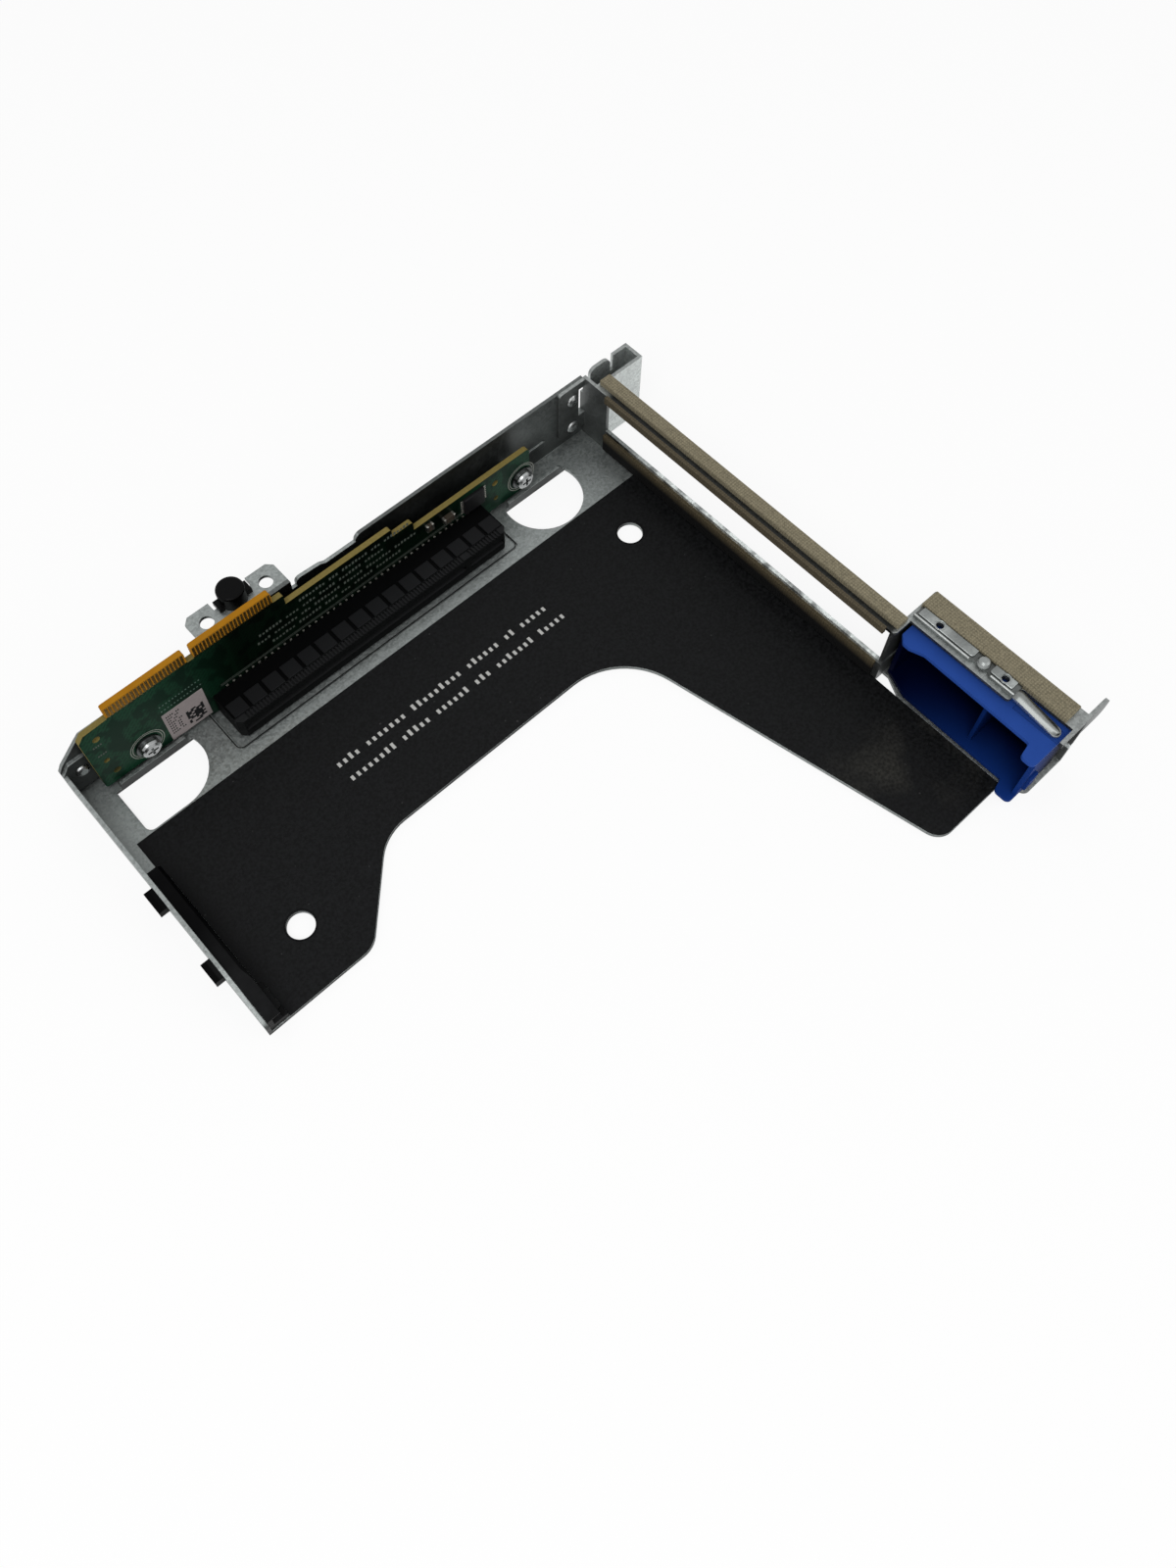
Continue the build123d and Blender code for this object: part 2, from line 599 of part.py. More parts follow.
def make_screw(x):
    """Pan-head screw with a cross recess."""
    seat = BOARD_FACE - WASHER
    front = seat - SCREW_HEAD
    tip = SHEET + SCREW_TIP
    screw = turned([
        (0, front), (SCREW_HEAD_R * 0.68, front), (SCREW_HEAD_R * 0.92, front + SCREW_HEAD * 0.22),
        (SCREW_HEAD_R, front + SCREW_HEAD * 0.55), (SCREW_HEAD_R, seat), (SCREW_R, seat), (SCREW_R, tip), (0, tip),
    ], x, SCREW_Z)
    long, slim = SCREW_CROSS / 2, SCREW_CROSS_SLOT / 2
    recess = (front, front + SCREW_HEAD * 0.6)
    screw -= span((x - long, x + long), recess, (SCREW_Z - slim, SCREW_Z + slim))
    return screw - span((x - slim, x + slim), recess, (SCREW_Z - long, SCREW_Z + long))


def make_rivet(x, z):
    """Rivet along Y through two sheets, domed in front and closed flat behind."""
    front, tail = -SHEET - RIVET_HEAD, SHEET + RIVET_TAIL
    return turned([
        (0, front), (RIVET_HEAD_R * 0.5, front), (RIVET_HEAD_R * 0.85, front + RIVET_HEAD * 0.4),
        (RIVET_HEAD_R, -SHEET), (RIVET_R, -SHEET), (RIVET_R, SHEET), (RIVET_TAIL_R, SHEET), (RIVET_TAIL_R, tail),
        (0, tail),
    ], x, z)


def make_channel():
    """The tall pocket folded at the corner between the wall and the rear panel."""
    ear_left = PANEL_OUTER + CHANNEL_SLIT
    back = outline([
        (CAGE_LENGTH, -SHEET), (CHANNEL_OUT, -SHEET), (CHANNEL_OUT, CHANNEL_TOP), (ear_left + 8.6, CHANNEL_TOP),
        (ear_left + 8.6, 17.0), (ear_left + 7.6, 17.0), (ear_left + 7.6, CHANNEL_TOP, 2.6),
        (ear_left, CHANNEL_TOP, 2.0), (ear_left, 16.0), (CAGE_LENGTH, 16.0),
    ])
    pocket = stand_along(back, 0, SHEET)
    pocket += span((CHANNEL_OUT - SHEET, CHANNEL_OUT), (-CHANNEL_DEPTH - SHEET, SHEET), (-SHEET, CHANNEL_TOP))
    pocket += span((PANEL_OUTER, CHANNEL_OUT), (-CHANNEL_DEPTH - SHEET, -CHANNEL_DEPTH), (-SHEET, FLANGE_TOP))
    return pocket + span((PANEL_OUTER, CHANNEL_OUT), (-CHANNEL_DEPTH, 0), (-SHEET, 0))


def make_bay():
    """The stepped-out bay of the latch: shelf, side, floor, flange, hem and ear."""
    shelf = (SHELF_Y - SHEET, SHELF_Y)
    bay = span((CAGE_LENGTH, BAY_OUT), shelf, (-SHEET, FLANGE_TOP))
    bay += span((BAY_WALL, BAY_OUT), (-BAY_END, SHELF_Y), (-SHEET, FLANGE_TOP))
    flange = outline([
        (BAY_FLANGE_EDGE, SHELF_Y), (BAY_FLANGE_EDGE, BAY_NOTCH_Y, 1.0), (BAY_GASKET_EDGE, BAY_NOTCH_Y, 1.0),
        (BAY_GASKET_EDGE, -BAY_END), (BAY_OUT, -BAY_END), (BAY_OUT, SHELF_Y),
    ])
    bay += lay_flat(flange, FLANGE_Z, FLANGE_TOP)
    (near_x, near_y), (far_x, far_y) = BAY_FLOOR_CHAMFER
    floor = outline([
        (CAGE_LENGTH + near_x, SHELF_Y), (CAGE_LENGTH + near_x, SHELF_Y + near_y),
        (CAGE_LENGTH + far_x, SHELF_Y + far_y), (CAGE_LENGTH, -RIGHT_ARM_DEPTH), (CAGE_LENGTH + 3.0, -BAY_END, 2.0), (BAY_OUT, -BAY_END), (BAY_OUT, SHELF_Y),
    ])
    bay += lay_flat(floor, -SHEET, 0)
    end = (-BAY_END, SHEET - BAY_END)
    bay += span((BAY_FLANGE_EDGE, BAY_OUT), end, (FLANGE_TOP - HEM_HEIGHT, FLANGE_TOP))
    ear_low = FLANGE_TOP - EAR_HEIGHT
    ear = outline([
        (BAY_WALL, ear_low), (BAY_OUT + EAR_REACH, ear_low, EAR_R), (BAY_OUT + EAR_REACH, FLANGE_TOP, EAR_R),
        (BAY_WALL, FLANGE_TOP),
    ])
    bay += stand_along(ear, *end)
    bay -= post_up(DOME_X, DOME_Y, (FLANGE_Z, FLANGE_TOP), RIVET_R)
    for y in SPRING_HOLES_Y:
        bay -= post_up(DOME_X + 0.3, y, (FLANGE_Z, FLANGE_TOP), SPRING_HOLE_R)
    bay -= post_up(PIN_X, PIN_Y, (-SHEET, 0), PIN_R)
    return bay - post_up(PIN_X, PIN_Y, (FLANGE_Z, FLANGE_TOP), PIN_R)


def make_bracket():
    """Rear panel bracket: tab on the wall, window with its rails, corner channel and latch bay."""
    bracket = span((CAGE_LENGTH, PANEL_OUTER), (SHELF_Y, 0), (-SHEET, FLANGE_TOP))
    bracket -= span((CAGE_LENGTH, PANEL_OUTER), (SHELF_Y, -WINDOW_START), (LOWER_RAIL, FLANGE_Z))
    tab = span((CAGE_LENGTH - SIDE_TAB, CAGE_LENGTH), (-SHEET, 0), (SIDE_TAB_BOTTOM, WALL_TALL))
    bracket += fillet(edges_at(tab, Axis.Y, x=CAGE_LENGTH - SIDE_TAB), 1.2)
    rail_end = SHELF_Y - RAIL_PAST_SHELF
    rail = outline([
        (CAGE_LENGTH, -CHANNEL_DEPTH), (CAGE_LENGTH, rail_end, 1.2), (CAGE_LENGTH + RAIL_REACH, rail_end),
        (CAGE_LENGTH + RAIL_REACH, -CHANNEL_DEPTH),
    ])
    bracket += lay_flat(rail, FLANGE_Z, FLANGE_TOP)
    bracket += make_channel() + make_bay()
    for z in BRACKET_RIVET_Z:
        bracket -= rod_along(BRACKET_RIVET_X, z, (-SHEET, 0), RIVET_R)
    return bracket - span((CAGE_LENGTH - CORNER_SLIT, CAGE_LENGTH), (-SHEET, 0), CORNER_SLIT_Z)


def make_rail_gasket():
    """Woven tape on the upper rail, from the channel to the bay."""
    low, high = RAIL_GASKET
    across = (CAGE_LENGTH + low, CAGE_LENGTH + high)
    return span(across, (SHELF_Y - 0.9, -CHANNEL_DEPTH - 0.5), (FLANGE_TOP, FLANGE_TOP + GASKET_RISE))


def make_window_gasket():
    """Woven tape on the inner edge of the upper rail."""
    along = (SHELF_Y + 1.3, -WINDOW_START)
    return span((CAGE_LENGTH - WINDOW_GASKET, CAGE_LENGTH), along, WINDOW_GASKET_Z)


def make_lower_gasket():
    """Woven tape on the inner face of the lower rail."""
    along = (SHELF_Y + 0.7, -WINDOW_START)
    return span((CAGE_LENGTH - LOWER_GASKET, CAGE_LENGTH), along, LOWER_GASKET_Z)


def make_bay_gasket():
    """Woven tape on the flange of the bay, over the head of the latch pin."""
    across = (BAY_GASKET_EDGE, BAY_GASKET_EDGE + BAY_GASKET_WIDTH)
    return span(across, (3.2 - BAY_END, SHELF_Y - 0.5), (FLANGE_TOP, FLANGE_TOP + GASKET_RISE))


def latch_plate(edge, low, high):
    """One of the two plates of the latch, from its open side to its outer side."""
    front = [(CAGE_LENGTH + x, SHELF_Y + y, radius) for x, y, radius in edge]
    back = [(LATCH_SIDE, LATCH_END, HUB_R), (LATCH_SIDE, LATCH_NOSE, 1.0)]
    return lay_flat(outline(front + back), low, high)


def make_latch():
    """Hollow card retainer, open towards the card, that swings on a pin at its far end."""
    low, high = LATCH_Z
    wall = LATCH_WALL
    nose_x, lobe_x = CAGE_LENGTH + LATCH_TOP_EDGE[0][0] + 0.5, CAGE_LENGTH + LATCH_TOP_EDGE[-1][0] + 1.4
    divider_x = CAGE_LENGTH + LATCH_TOP_EDGE[3][0] + 0.6
    latch = latch_plate(LATCH_FLOOR_EDGE, low, low + wall) + latch_plate(LATCH_TOP_EDGE, high - wall, high)
    skin = outline([
        (nose_x, LATCH_NOSE), (LATCH_SIDE, LATCH_NOSE, 1.0), (LATCH_SIDE, LATCH_END, HUB_R),
        (lobe_x, LATCH_END), (lobe_x, LATCH_END + wall), (LATCH_SIDE - wall, LATCH_END + wall, 1.4),
        (LATCH_SIDE - wall, LATCH_NOSE - wall), (nose_x, LATCH_NOSE - wall),
    ])
    latch += lay_flat(skin, low, high)
    latch += span((divider_x, LATCH_SIDE), (LATCH_DIVIDER_Y, LATCH_DIVIDER_Y + 1.0), LATCH_Z)
    latch += post_up(PIN_X, PIN_Y, LATCH_Z, HUB_R)
    hook = span(HOOK_X, (LATCH_END - HOOK_RISE, LATCH_END + 0.5), HOOK_Z)
    latch += chamfer(edges_at(hook, Axis.X, y=LATCH_END - HOOK_RISE), 0.5)
    groove_x = (FINGER_EDGE[0] - 0.4, FINGER_EDGE[1] + 0.4)
    latch -= span(groove_x, (LATCH_END, BAY_NOTCH_Y - 1.5), (high - GROOVE_DEPTH, high))
    return latch - post_up(PIN_X, PIN_Y, LATCH_Z, PIN_R + PIN_CLEARANCE)


def make_pin():
    """Steel pin of the latch, seated in the floor and in the flange of the bay."""
    return post_up(PIN_X, PIN_Y, (-SHEET, FLANGE_TOP), PIN_R)


def make_spring():
    """Leaf spring on the flange of the bay, with a finger bent down to the latch."""
    top = FLANGE_TOP + SPRING_SHEET
    near = SHELF_Y - SHEET
    tip_y, tip_z = FINGER_TIP_Y, FINGER_TIP_Z
    left, right = SPRING_EDGE, BAY_GASKET_EDGE
    plate = outline([
        (left, near), (left, DOME_Y + 3.2, 0.6), (left + 0.8, DOME_Y + 2.2, 0.4), (left + 0.8, DOME_Y - 2.2, 0.4),
        (left, DOME_Y - 3.2, 0.6), (left, BAY_NOTCH_Y, 0.5), (right, BAY_NOTCH_Y), (right, near),
    ])
    spring = lay_flat(plate, FLANGE_TOP, top)
    side = outline([
        (BAY_NOTCH_Y + 3.0, FLANGE_TOP), (BAY_NOTCH_Y + 3.0, top), (BAY_NOTCH_Y - 3.0, top - 0.2),
        (tip_y, tip_z + 0.6), (tip_y, tip_z), (BAY_NOTCH_Y - 3.0, FLANGE_TOP - 0.5), (BAY_NOTCH_Y, FLANGE_TOP),
    ])
    finger_low, finger_high = FINGER_EDGE
    end = outline([
        (finger_low, BAY_NOTCH_Y + 3.0), (finger_low, tip_y, 1.5), (finger_high, tip_y, 1.5),
        (finger_high, BAY_NOTCH_Y + 3.0),
    ])
    spring += stand_across(side, finger_low, finger_high) & lay_flat(end, 0, 2 * top)
    for y in SPRING_HOLES_Y:
        spring -= post_up(DOME_X + 0.3, y, (FLANGE_TOP, top), SPRING_HOLE_R)
    return spring - post_up(DOME_X, DOME_Y, (FLANGE_TOP, top), RIVET_R)


def make_spring_rivet():
    """Domed rivet that holds the leaf spring to the flange."""
    seat = FLANGE_TOP + SPRING_SHEET
    top = seat + DOME_RISE
    return turned_up([
        (0, top), (DOME_R * 0.4, top), (DOME_R * 0.75, seat + DOME_RISE * 0.75), (DOME_R, seat + DOME_RISE * 0.25),
        (DOME_R, seat), (RIVET_R, seat), (RIVET_R, FLANGE_Z), (0, FLANGE_Z),
    ], DOME_X, DOME_Y)


def make_guide():
    """Guide for the card's far end: foot, back and lip round the groove, with two lugs."""
    low, high = SLOT_CENTRE - CARD_GROOVE / 2, SLOT_CENTRE + CARD_GROOVE / 2
    back, lip, foot = SHEET + GUIDE_BACK, SHEET + GUIDE_LIP, SHEET + GUIDE_FOOT
    profile = outline([
        (SHEET, 0), (foot, 0), (foot, low - 0.7), (foot - 0.7, low), (back, low), (back, high), (lip, high),
        (lip, GUIDE_HEIGHT - 0.8), (lip - 0.8, GUIDE_HEIGHT), (SHEET, GUIDE_HEIGHT),
    ])
    guide = stand_along(profile, *GUIDE_Y)
    guide += span((foot - 1.0, SHEET + GUIDE_WIDE_FOOT), (GUIDE_Y[0], GUIDE_WIDE_FOOT_Y), (0, low - 0.7))
    slope = outline([
        (LEFT_FLANGE_SLOPE_Y - 2.0, GUIDE_HEIGHT), (GUIDE_Y[0], GUIDE_HEIGHT),
        (GUIDE_Y[0], LEFT_FLANGE_TIP_HEIGHT + 1.0),
    ])
    guide -= stand_across(slope, SHEET, lip)
    lead = outline([
        (GUIDE_Y[0], low - 0.6), (GUIDE_Y[0], high + 0.6), (GUIDE_Y[0] + GUIDE_LEAD, high),
        (GUIDE_Y[0] + GUIDE_LEAD, low),
    ])
    guide -= stand_across(lead, back, SHEET + GUIDE_WIDE_FOOT)
    for lug_y in LUGS_Y:
        guide += span((-LUG_REACH, SHEET), lug_y, LUG_Z)
    return guide


def make_post():
    """Guide post with wings that rest on the flange and a shank through it."""
    x = REAR_FLANGE_MIDDLE
    top, foot = WALL_TALL + POST_RISE, WALL_TALL - POST_SHANK_DROP
    post = turned_up([
        (0, top), (POST_R - 0.6, top), (POST_R - 0.15, top - 0.2), (POST_R, top - 0.6), (POST_R, WALL_TALL),
        (POST_SHANK_R, WALL_TALL), (POST_SHANK_R, foot), (0, foot),
    ], x, POST_Y)
    half, wide = POST_WING_SPAN / 2, POST_WING_WIDTH / 2
    return post + span((x - half, x + half), (POST_Y - wide, POST_Y + wide),
                       (WALL_TALL, WALL_TALL + POST_WING_THICK))


def on_board(x, z, length, height, thick):
    """A block that sits on the face of the riser board."""
    return span((x - length / 2, x + length / 2), (BOARD_FACE - thick, BOARD_FACE),
                (z - height / 2, z + height / 2))


def make_chip():
    """Flat chip beside the slot, with bevelled edges."""
    chip = on_board(*CHIP)
    return chamfer(chip.edges().group_by(Axis.Y)[0], 0.2)


def to_origin():
    """From the working frame to the middle of the footprint, on the surface the part lies on."""
    low_x, high_x = -LUG_REACH, BAY_OUT + EAR_REACH
    low_y, high_y = -BAY_END, max(REAR_FLANGE_DEPTH, POST_Y + POST_R)
    return Pos(-(low_x + high_x) / 2, -(low_y + high_y) / 2, SHEET)


PARTS = {
    "tray": make_tray(),
    "insulating_film": make_film(),
    "riser_board": make_board(),
    "edge_fingers": make_fingers(),
    "slot_housing": make_slot(),
    "slot_contacts": make_contacts(),
    "solder_tails": make_tails(),
    "board_standoffs": make_standoffs(),
    "board_washers": make_washers(),
    "board_screw_left": make_screw(SCREW_X[0]),
    "board_screw_right": make_screw(SCREW_X[1]),
    "control_chip": make_chip(),
    "capacitors": Compound([on_board(*size) for size in CAPACITORS]),
    "board_label": on_board(*LABEL),
    "rear_bracket": make_bracket(),
    "bracket_rivets": Compound([make_rivet(BRACKET_RIVET_X, z) for z in BRACKET_RIVET_Z]),
    "corner_rivet": make_rivet(*CORNER_RIVET),
    "rail_gasket": make_rail_gasket(),
    "window_gasket": make_window_gasket(),
    "lower_gasket": make_lower_gasket(),
    "bay_gasket": make_bay_gasket(),
    "card_latch": make_latch(),
    "latch_pin": make_pin(),
    "latch_spring": make_spring(),
    "spring_rivet": make_spring_rivet(),
    "card_guide": make_guide(),
    "guide_post": make_post(),
}

os.makedirs("parts", exist_ok=True)
for name, shape in PARTS.items():
    export_step(to_origin() * shape, f"parts/{name}.step")
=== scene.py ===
import math
import random

import bpy
from mathutils import Matrix, Vector


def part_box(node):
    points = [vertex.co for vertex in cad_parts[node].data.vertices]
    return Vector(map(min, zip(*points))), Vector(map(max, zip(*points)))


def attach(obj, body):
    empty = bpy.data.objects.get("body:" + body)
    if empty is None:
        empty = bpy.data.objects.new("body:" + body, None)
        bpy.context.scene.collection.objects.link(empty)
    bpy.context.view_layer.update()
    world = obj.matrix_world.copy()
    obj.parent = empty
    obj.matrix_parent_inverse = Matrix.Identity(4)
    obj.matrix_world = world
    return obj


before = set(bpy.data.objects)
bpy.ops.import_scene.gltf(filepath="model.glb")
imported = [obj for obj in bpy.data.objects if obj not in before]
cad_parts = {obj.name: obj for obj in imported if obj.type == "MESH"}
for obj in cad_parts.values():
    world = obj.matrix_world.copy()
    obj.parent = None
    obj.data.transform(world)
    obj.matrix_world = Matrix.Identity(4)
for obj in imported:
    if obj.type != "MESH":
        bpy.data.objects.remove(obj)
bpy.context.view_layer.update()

# The working frame of the object, in millimetres: X along the back wall, Y = 0 at the wall's
# inner face, Z = 0 at the upper face of the base plate. The shift is from there to the row frame.
SHIFT = (-97.5, 75.15, 1.0)
BODY = "cage"


def to_row(x, y, z):
    """A point of the working frame in the row frame, in metres."""
    return tuple((value + shift) / 1000 for value, shift in zip((x, y, z), SHIFT))


def span_of(node, axis):
    """Low and high values of a CAD node along an axis of the working frame, in millimetres."""
    low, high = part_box(node)
    return low[axis] * 1000 - SHIFT[axis], high[axis] * 1000 - SHIFT[axis]


# How far the flat part of the leaf spring reaches past its dome
SPRING_PAST_DOME = 10.5

# Places read from the CAD nodes
FILM_TOP = span_of("insulating_film", 2)[1]
TRAY_TOP = span_of("tray", 2)[1]
BOARD_FACE = span_of("riser_board", 1)[0]
SLOT_LEFT, SLOT_RIGHT = span_of("slot_housing", 0)
SLOT_FRONT = span_of("slot_housing", 1)[0]
SLOT_TOP = span_of("slot_housing", 2)[1]
SCREWS = [sum(span_of(node, 0)) / 2 for node in ("board_screw_left", "board_screw_right")]
SCREW_HEIGHT = sum(span_of("board_screw_left", 2)) / 2
CHIP_SPANS = [span_of("control_chip", axis) for axis in range(3)]
LABEL_SPANS = [span_of("board_label", axis) for axis in range(3)]
TAPE_SPANS = [span_of("bay_gasket", axis) for axis in range(3)]
DOME = [sum(span_of("spring_rivet", axis)) / 2 for axis in range(2)]
SPRING_TIP, SPRING_NEAR = span_of("latch_spring", 1)
FINGER_LOW, SPRING_RIGHT = span_of("latch_spring", 0)
SPRING_LEFT = 2 * DOME[0] - SPRING_RIGHT
SPRING_FAR = DOME[1] - SPRING_PAST_DOME
SPRING_TOP = span_of("latch_spring", 2)[1]
LATCH_TOP = span_of("card_latch", 2)[1]
LATCH_LOW, LATCH_HIGH = span_of("card_latch", 0)
LATCH_FAR, LATCH_NEAR = span_of("card_latch", 1)

# Camera, as fitted to the photograph, and the size of its frame in pixels
CAMERA_PLACE = (-6.26, -186.08, 307.68)
CAMERA_ANGLES = (0.515202, -0.000252, -0.73949)
FRAME_SIZE = (1200, 1600)
FOCAL_PX = 1385.0
CENTRE_PX = (571.8, 693.2)
SENSOR = 36.0

# Light
WORLD_LIGHT = 0.6
KEY_PLACE, KEY_WATT, KEY_SIZE = (-0.5, -0.3, 0.9), 4.4, 0.6
FILL_PLACE, FILL_WATT, FILL_SIZE = (0.6, -0.7, 0.6), 1.2, 0.8

# Floor: half its width, how far it lies below the object, its own colour and how white it shows
FLOOR_REACH = 3.0
FLOOR_DROP = 0.0004
FLOOR_COLOUR = (0.95, 0.95, 0.95)
FLOOR_WHITE = 0.85

# Painted shade on the tray, each place from where it starts to where it is full: the end of the board's
# painted shadow on the wall past the slot, the plate's upper face and the plate behind the film, which bound
# the painted shade on the cut edge under the film, and the wall's darker upper rim
WALL_SHADOW_FADE = (128.0, 160.0)
PLATE_FACE = (-0.1, 0.1)
BEHIND_FILM = (-12.0, -8.0)
RIM_HEIGHT = (TRAY_TOP - 0.3, TRAY_TOP - 0.1)
RIM_DEPTH = (1.3, 1.1)

# Painted light on the bracket: the painted highlight of its corner channel, the painted shadow in the open
# strip of the upper rail and the painted reflection on the lower rail
CORNER_X, CORNER_Y = (173.2, 174.0), (-20.0, -12.0)
STRIP_X, STRIP_Z = (174.6, 173.4), (20.0, 21.0)
STRIP_BACK, STRIP_FRONT = (-8.0, -11.0), (-112.6, -111.6)
LOW_RAIL_TOP, LOW_RAIL_FOOT = (8.9, 8.4), (6.6, 7.0)
LOW_RAIL_BACK = (-14.0, -30.0)

# Brightness in the board's painted shadow on the wall, on the darker rim, on the cut edge in painted shade
# and in the painted shadow of the strip, the gain of the painted highlight on the corner channel, and the
# brightness of the outer faces, which no painted shade darkens
WALL_SHADOW, DARK_RIM, CUT_SHADE, STRIP_SHADOW = 0.25, 0.4, 0.12, 0.12
CORNER_HIGHLIGHT = 2.0
OUTER_SHADE = 0.85

# Places on other pieces: the film's patch of painted sheen, the guide's open end, where its painted sheen is
# full, and the part inside the flange, where it is faint, the slot's front edge with its painted sheen, the
# latch's rim above the painted shade of its hollow and where that shade lightens, the spring's face between
# its pads in painted shade, the board's ends past its painted shade in the middle, with its lower edge and
# amber strip, and the lower tape's lit top above its painted shade
SHEEN_BACK, SHEEN_FRONT = (-118.0, -132.0), (-152.0, -140.0)
GUIDE_END, GUIDE_INSIDE = (-54.0, -68.0), (-1.2, -0.8)
SLOT_EDGE = (SLOT_FRONT + 2.4, SLOT_FRONT + 1.8)
LATCH_RIM = (LATCH_TOP - 1.6, LATCH_TOP - 0.9)
HOLLOW_X, HOLLOW_Y = (LATCH_HIGH - 4.0, LATCH_LOW + 2.0), (LATCH_NEAR - 4.0, LATCH_FAR + 12.0)
GROOVE_Y, GROOVE_Z = (SPRING_FAR - 0.6, SPRING_FAR), (SPRING_TOP + 0.4, SPRING_TOP + 0.05)
BOARD_LEFT_END, BOARD_RIGHT_END = (50.0, 26.0), (118.0, 136.0)
BOARD_LOW_EDGE, BOARD_AMBER = (3.0, 7.0), (27.3, 27.5)
LOW_TAPE_LIT = (4.0, 6.4)

# Random draws for the printed blocks, the same in each run
chance = random.Random(7)

# Ink: its thickness, and the two rows on the film, each with its Y, its start and the length of its words
INK_THICK = 0.02
FILM_ROWS = ((-39.1, 53.0, (4, 7, 9, 6, 2, 5)), (-44.2, 53.3, (8, 5, 6, 3, 7, 5)))
FILM_LETTER, FILM_ADVANCE = 0.85, 1.86
FILM_LETTER_TALL = (1.25, 1.35, 1.35, 1.85)

# Rows of ink on the board, each with its height, start and end, and the short rows at the board's left end
BOARD_ROWS = ((20.4, 70, 98), (17.6, 57, 96), (14.8, 56, 104), (12.0, 60, 97))
BOARD_LETTER, BOARD_ADVANCE = 0.62, 1.05
BOARD_LETTER_TALL = (0.7, 1.0)
BOARD_WORD = (3, 8)
SHORT_ROWS = (19.4, 15.2)
SHORT_START, SHORT_WORD = 9.0, (4,)
SHORT_LETTER, SHORT_ADVANCE, SHORT_TALL = 0.4, 0.65, 0.6

# Two lines of ink over the slot: height of the lower one above it, distance, width and inset from its ends
LINE_RISE = 1.1
LINE_PITCH = 0.55
LINE_WIDTH = 0.14
LINE_INSET = 3.0

# Inner and outer radius of the rings of ink round the board's screws
SCREW_RINGS = ((4.05, 4.27), (4.65, 4.87))

# Test dots on the board: heights of their rows, number in a row, first place, distance and size
DOT_ROWS, DOTS = (17.6, 15.5), 13
DOT_START, DOT_PITCH, DOT_SIZE = 27.0, 0.95, 0.4

# Label: its margin, its ink, and the share of it on the left that has rows of marks
LABEL_MARGIN = 0.8
LABEL_INK_THICK = 0.01
LABEL_SHARE = 0.46
LABEL_ROWS, LABEL_FIRST_ROW, LABEL_PITCH = 8, 2.0, 1.15
LABEL_LETTER, LABEL_ADVANCE, LABEL_TALL = 0.36, 0.58, 0.6

# Squares on the rest of the label: size, rows, share that is inked, and distance to the marks and the foot
CELL = 0.72
CELL_ROWS = 9
CELL_SHARE = 0.6
CELL_GAP, CELL_FOOT = 0.2, 1.0

# Holes of the film, and the inner and outer radius of the film's rims round them
FILM_HOLES = ((20.9, -65.5), (156.9, -36.0))
FILM_RIM = (3.55, 4.0)

# Outer edge of the bay's tape: how far it overlaps the tape, sticks out and lies lower
TAPE_OVERLAP, TAPE_OUT, TAPE_LOWER = 0.3, 1.2, 0.1

# Tiles of the slot, lighter than it as a painted sheen on its raised blocks: number, width, reach from the
# slot's front, depth below and rise above its top
TILES, TILE_WIDTH = 16, 4.5
TILE_REACH = (2.2, 6.6)
TILE_SINK, TILE_RISE = 0.45, 0.03

# Leads on each side of the chip: number, distance and first place, then length, width and thickness
LEADS, LEAD_PITCH, LEAD_START = 7, 0.78, 0.6
LEAD_LONG, LEAD_WIDTH, LEAD_THICK = 0.9, 0.32, 0.3

# Capacitors, each with its middle along X, its height, length, width and thickness, and half the length
# and the wall of the metal cap on each end
CAPACITORS = ((SLOT_RIGHT - 17.8, 14.2, 1.7, 2.4, 1.1), (SLOT_RIGHT - 11.5, 12.7, 3.2, 2.0, 1.4))
CAP_HALF, CAP_WALL = 0.32, 0.05

# Holes of the leaf spring: their places from its dome, their radius, and the size of the rims round them
HOLE_ASIDE, HOLE_PLACES = 0.3, (14.0, -6.4)
SPRING_HOLE_R = 1.2
HOLE_RIM, HOLE_RIM_RISE = (1.25, 1.5), 0.12

# Raised pads of the leaf spring: the near one from the dome to short of the near end, the far one beside
# the dome, both a little inside the spring's edges
PAD_RISE, PAD_SINK, PAD_ROUND = 0.45, 0.02, 0.15
PAD_INSETS = (1.0, 0.1)
NEAR_PAD_START, NEAR_PAD_SHORT = 2.8, 0.6
FAR_PAD = (-9.2, -2.5)
NEAR_PAD_RADII, FAR_PAD_RADII = (0.9, 0.2, 0.2, 0.2), (0.4, 0.3, 0.2, 0.6)

# Fold along the free edge of the leaf spring, in a painted highlight, which stays clear of the dome
FOLD_WIDE, FOLD_SINK, FOLD_RISE = 0.5, 0.05, 0.4
FOLD_CLEAR = 3.3

# Finger of the leaf spring: its arch, the height of its tip, where it bends down, and how much narrower each
# side is at shares of its length
FINGER_WIDTH, FINGER_CROWN, FINGER_RISE = 3.0, 0.7, 0.12
FINGER_TIP_HEIGHT = 20.9
FINGER_BEND = 0.1
FINGER_INSETS = ((0.0, 0.0), (0.1, 0.0), (0.3, 0.0), (0.6, 0.1), (0.85, 0.2), (0.94, 0.5), (0.985, 1.1))

# Wide end of the guide: height of its foot, and the heights and outlines of the dark rim and dull top on it
GUIDE_FOOT_TOP = 2.15
END_RIM_Z = (GUIDE_FOOT_TOP - 0.1, GUIDE_FOOT_TOP + 0.08)
END_TOP_Z = (GUIDE_FOOT_TOP, GUIDE_FOOT_TOP + 0.5)
END_RIM = ((5.9, -71.1), (5.9, -80.3), (4.62, -80.7), (4.62, -71.1))
END_TOP = ((5.8, -72.7), (5.8, -78.5), (4.7, -78.9), (4.7, -73.0))

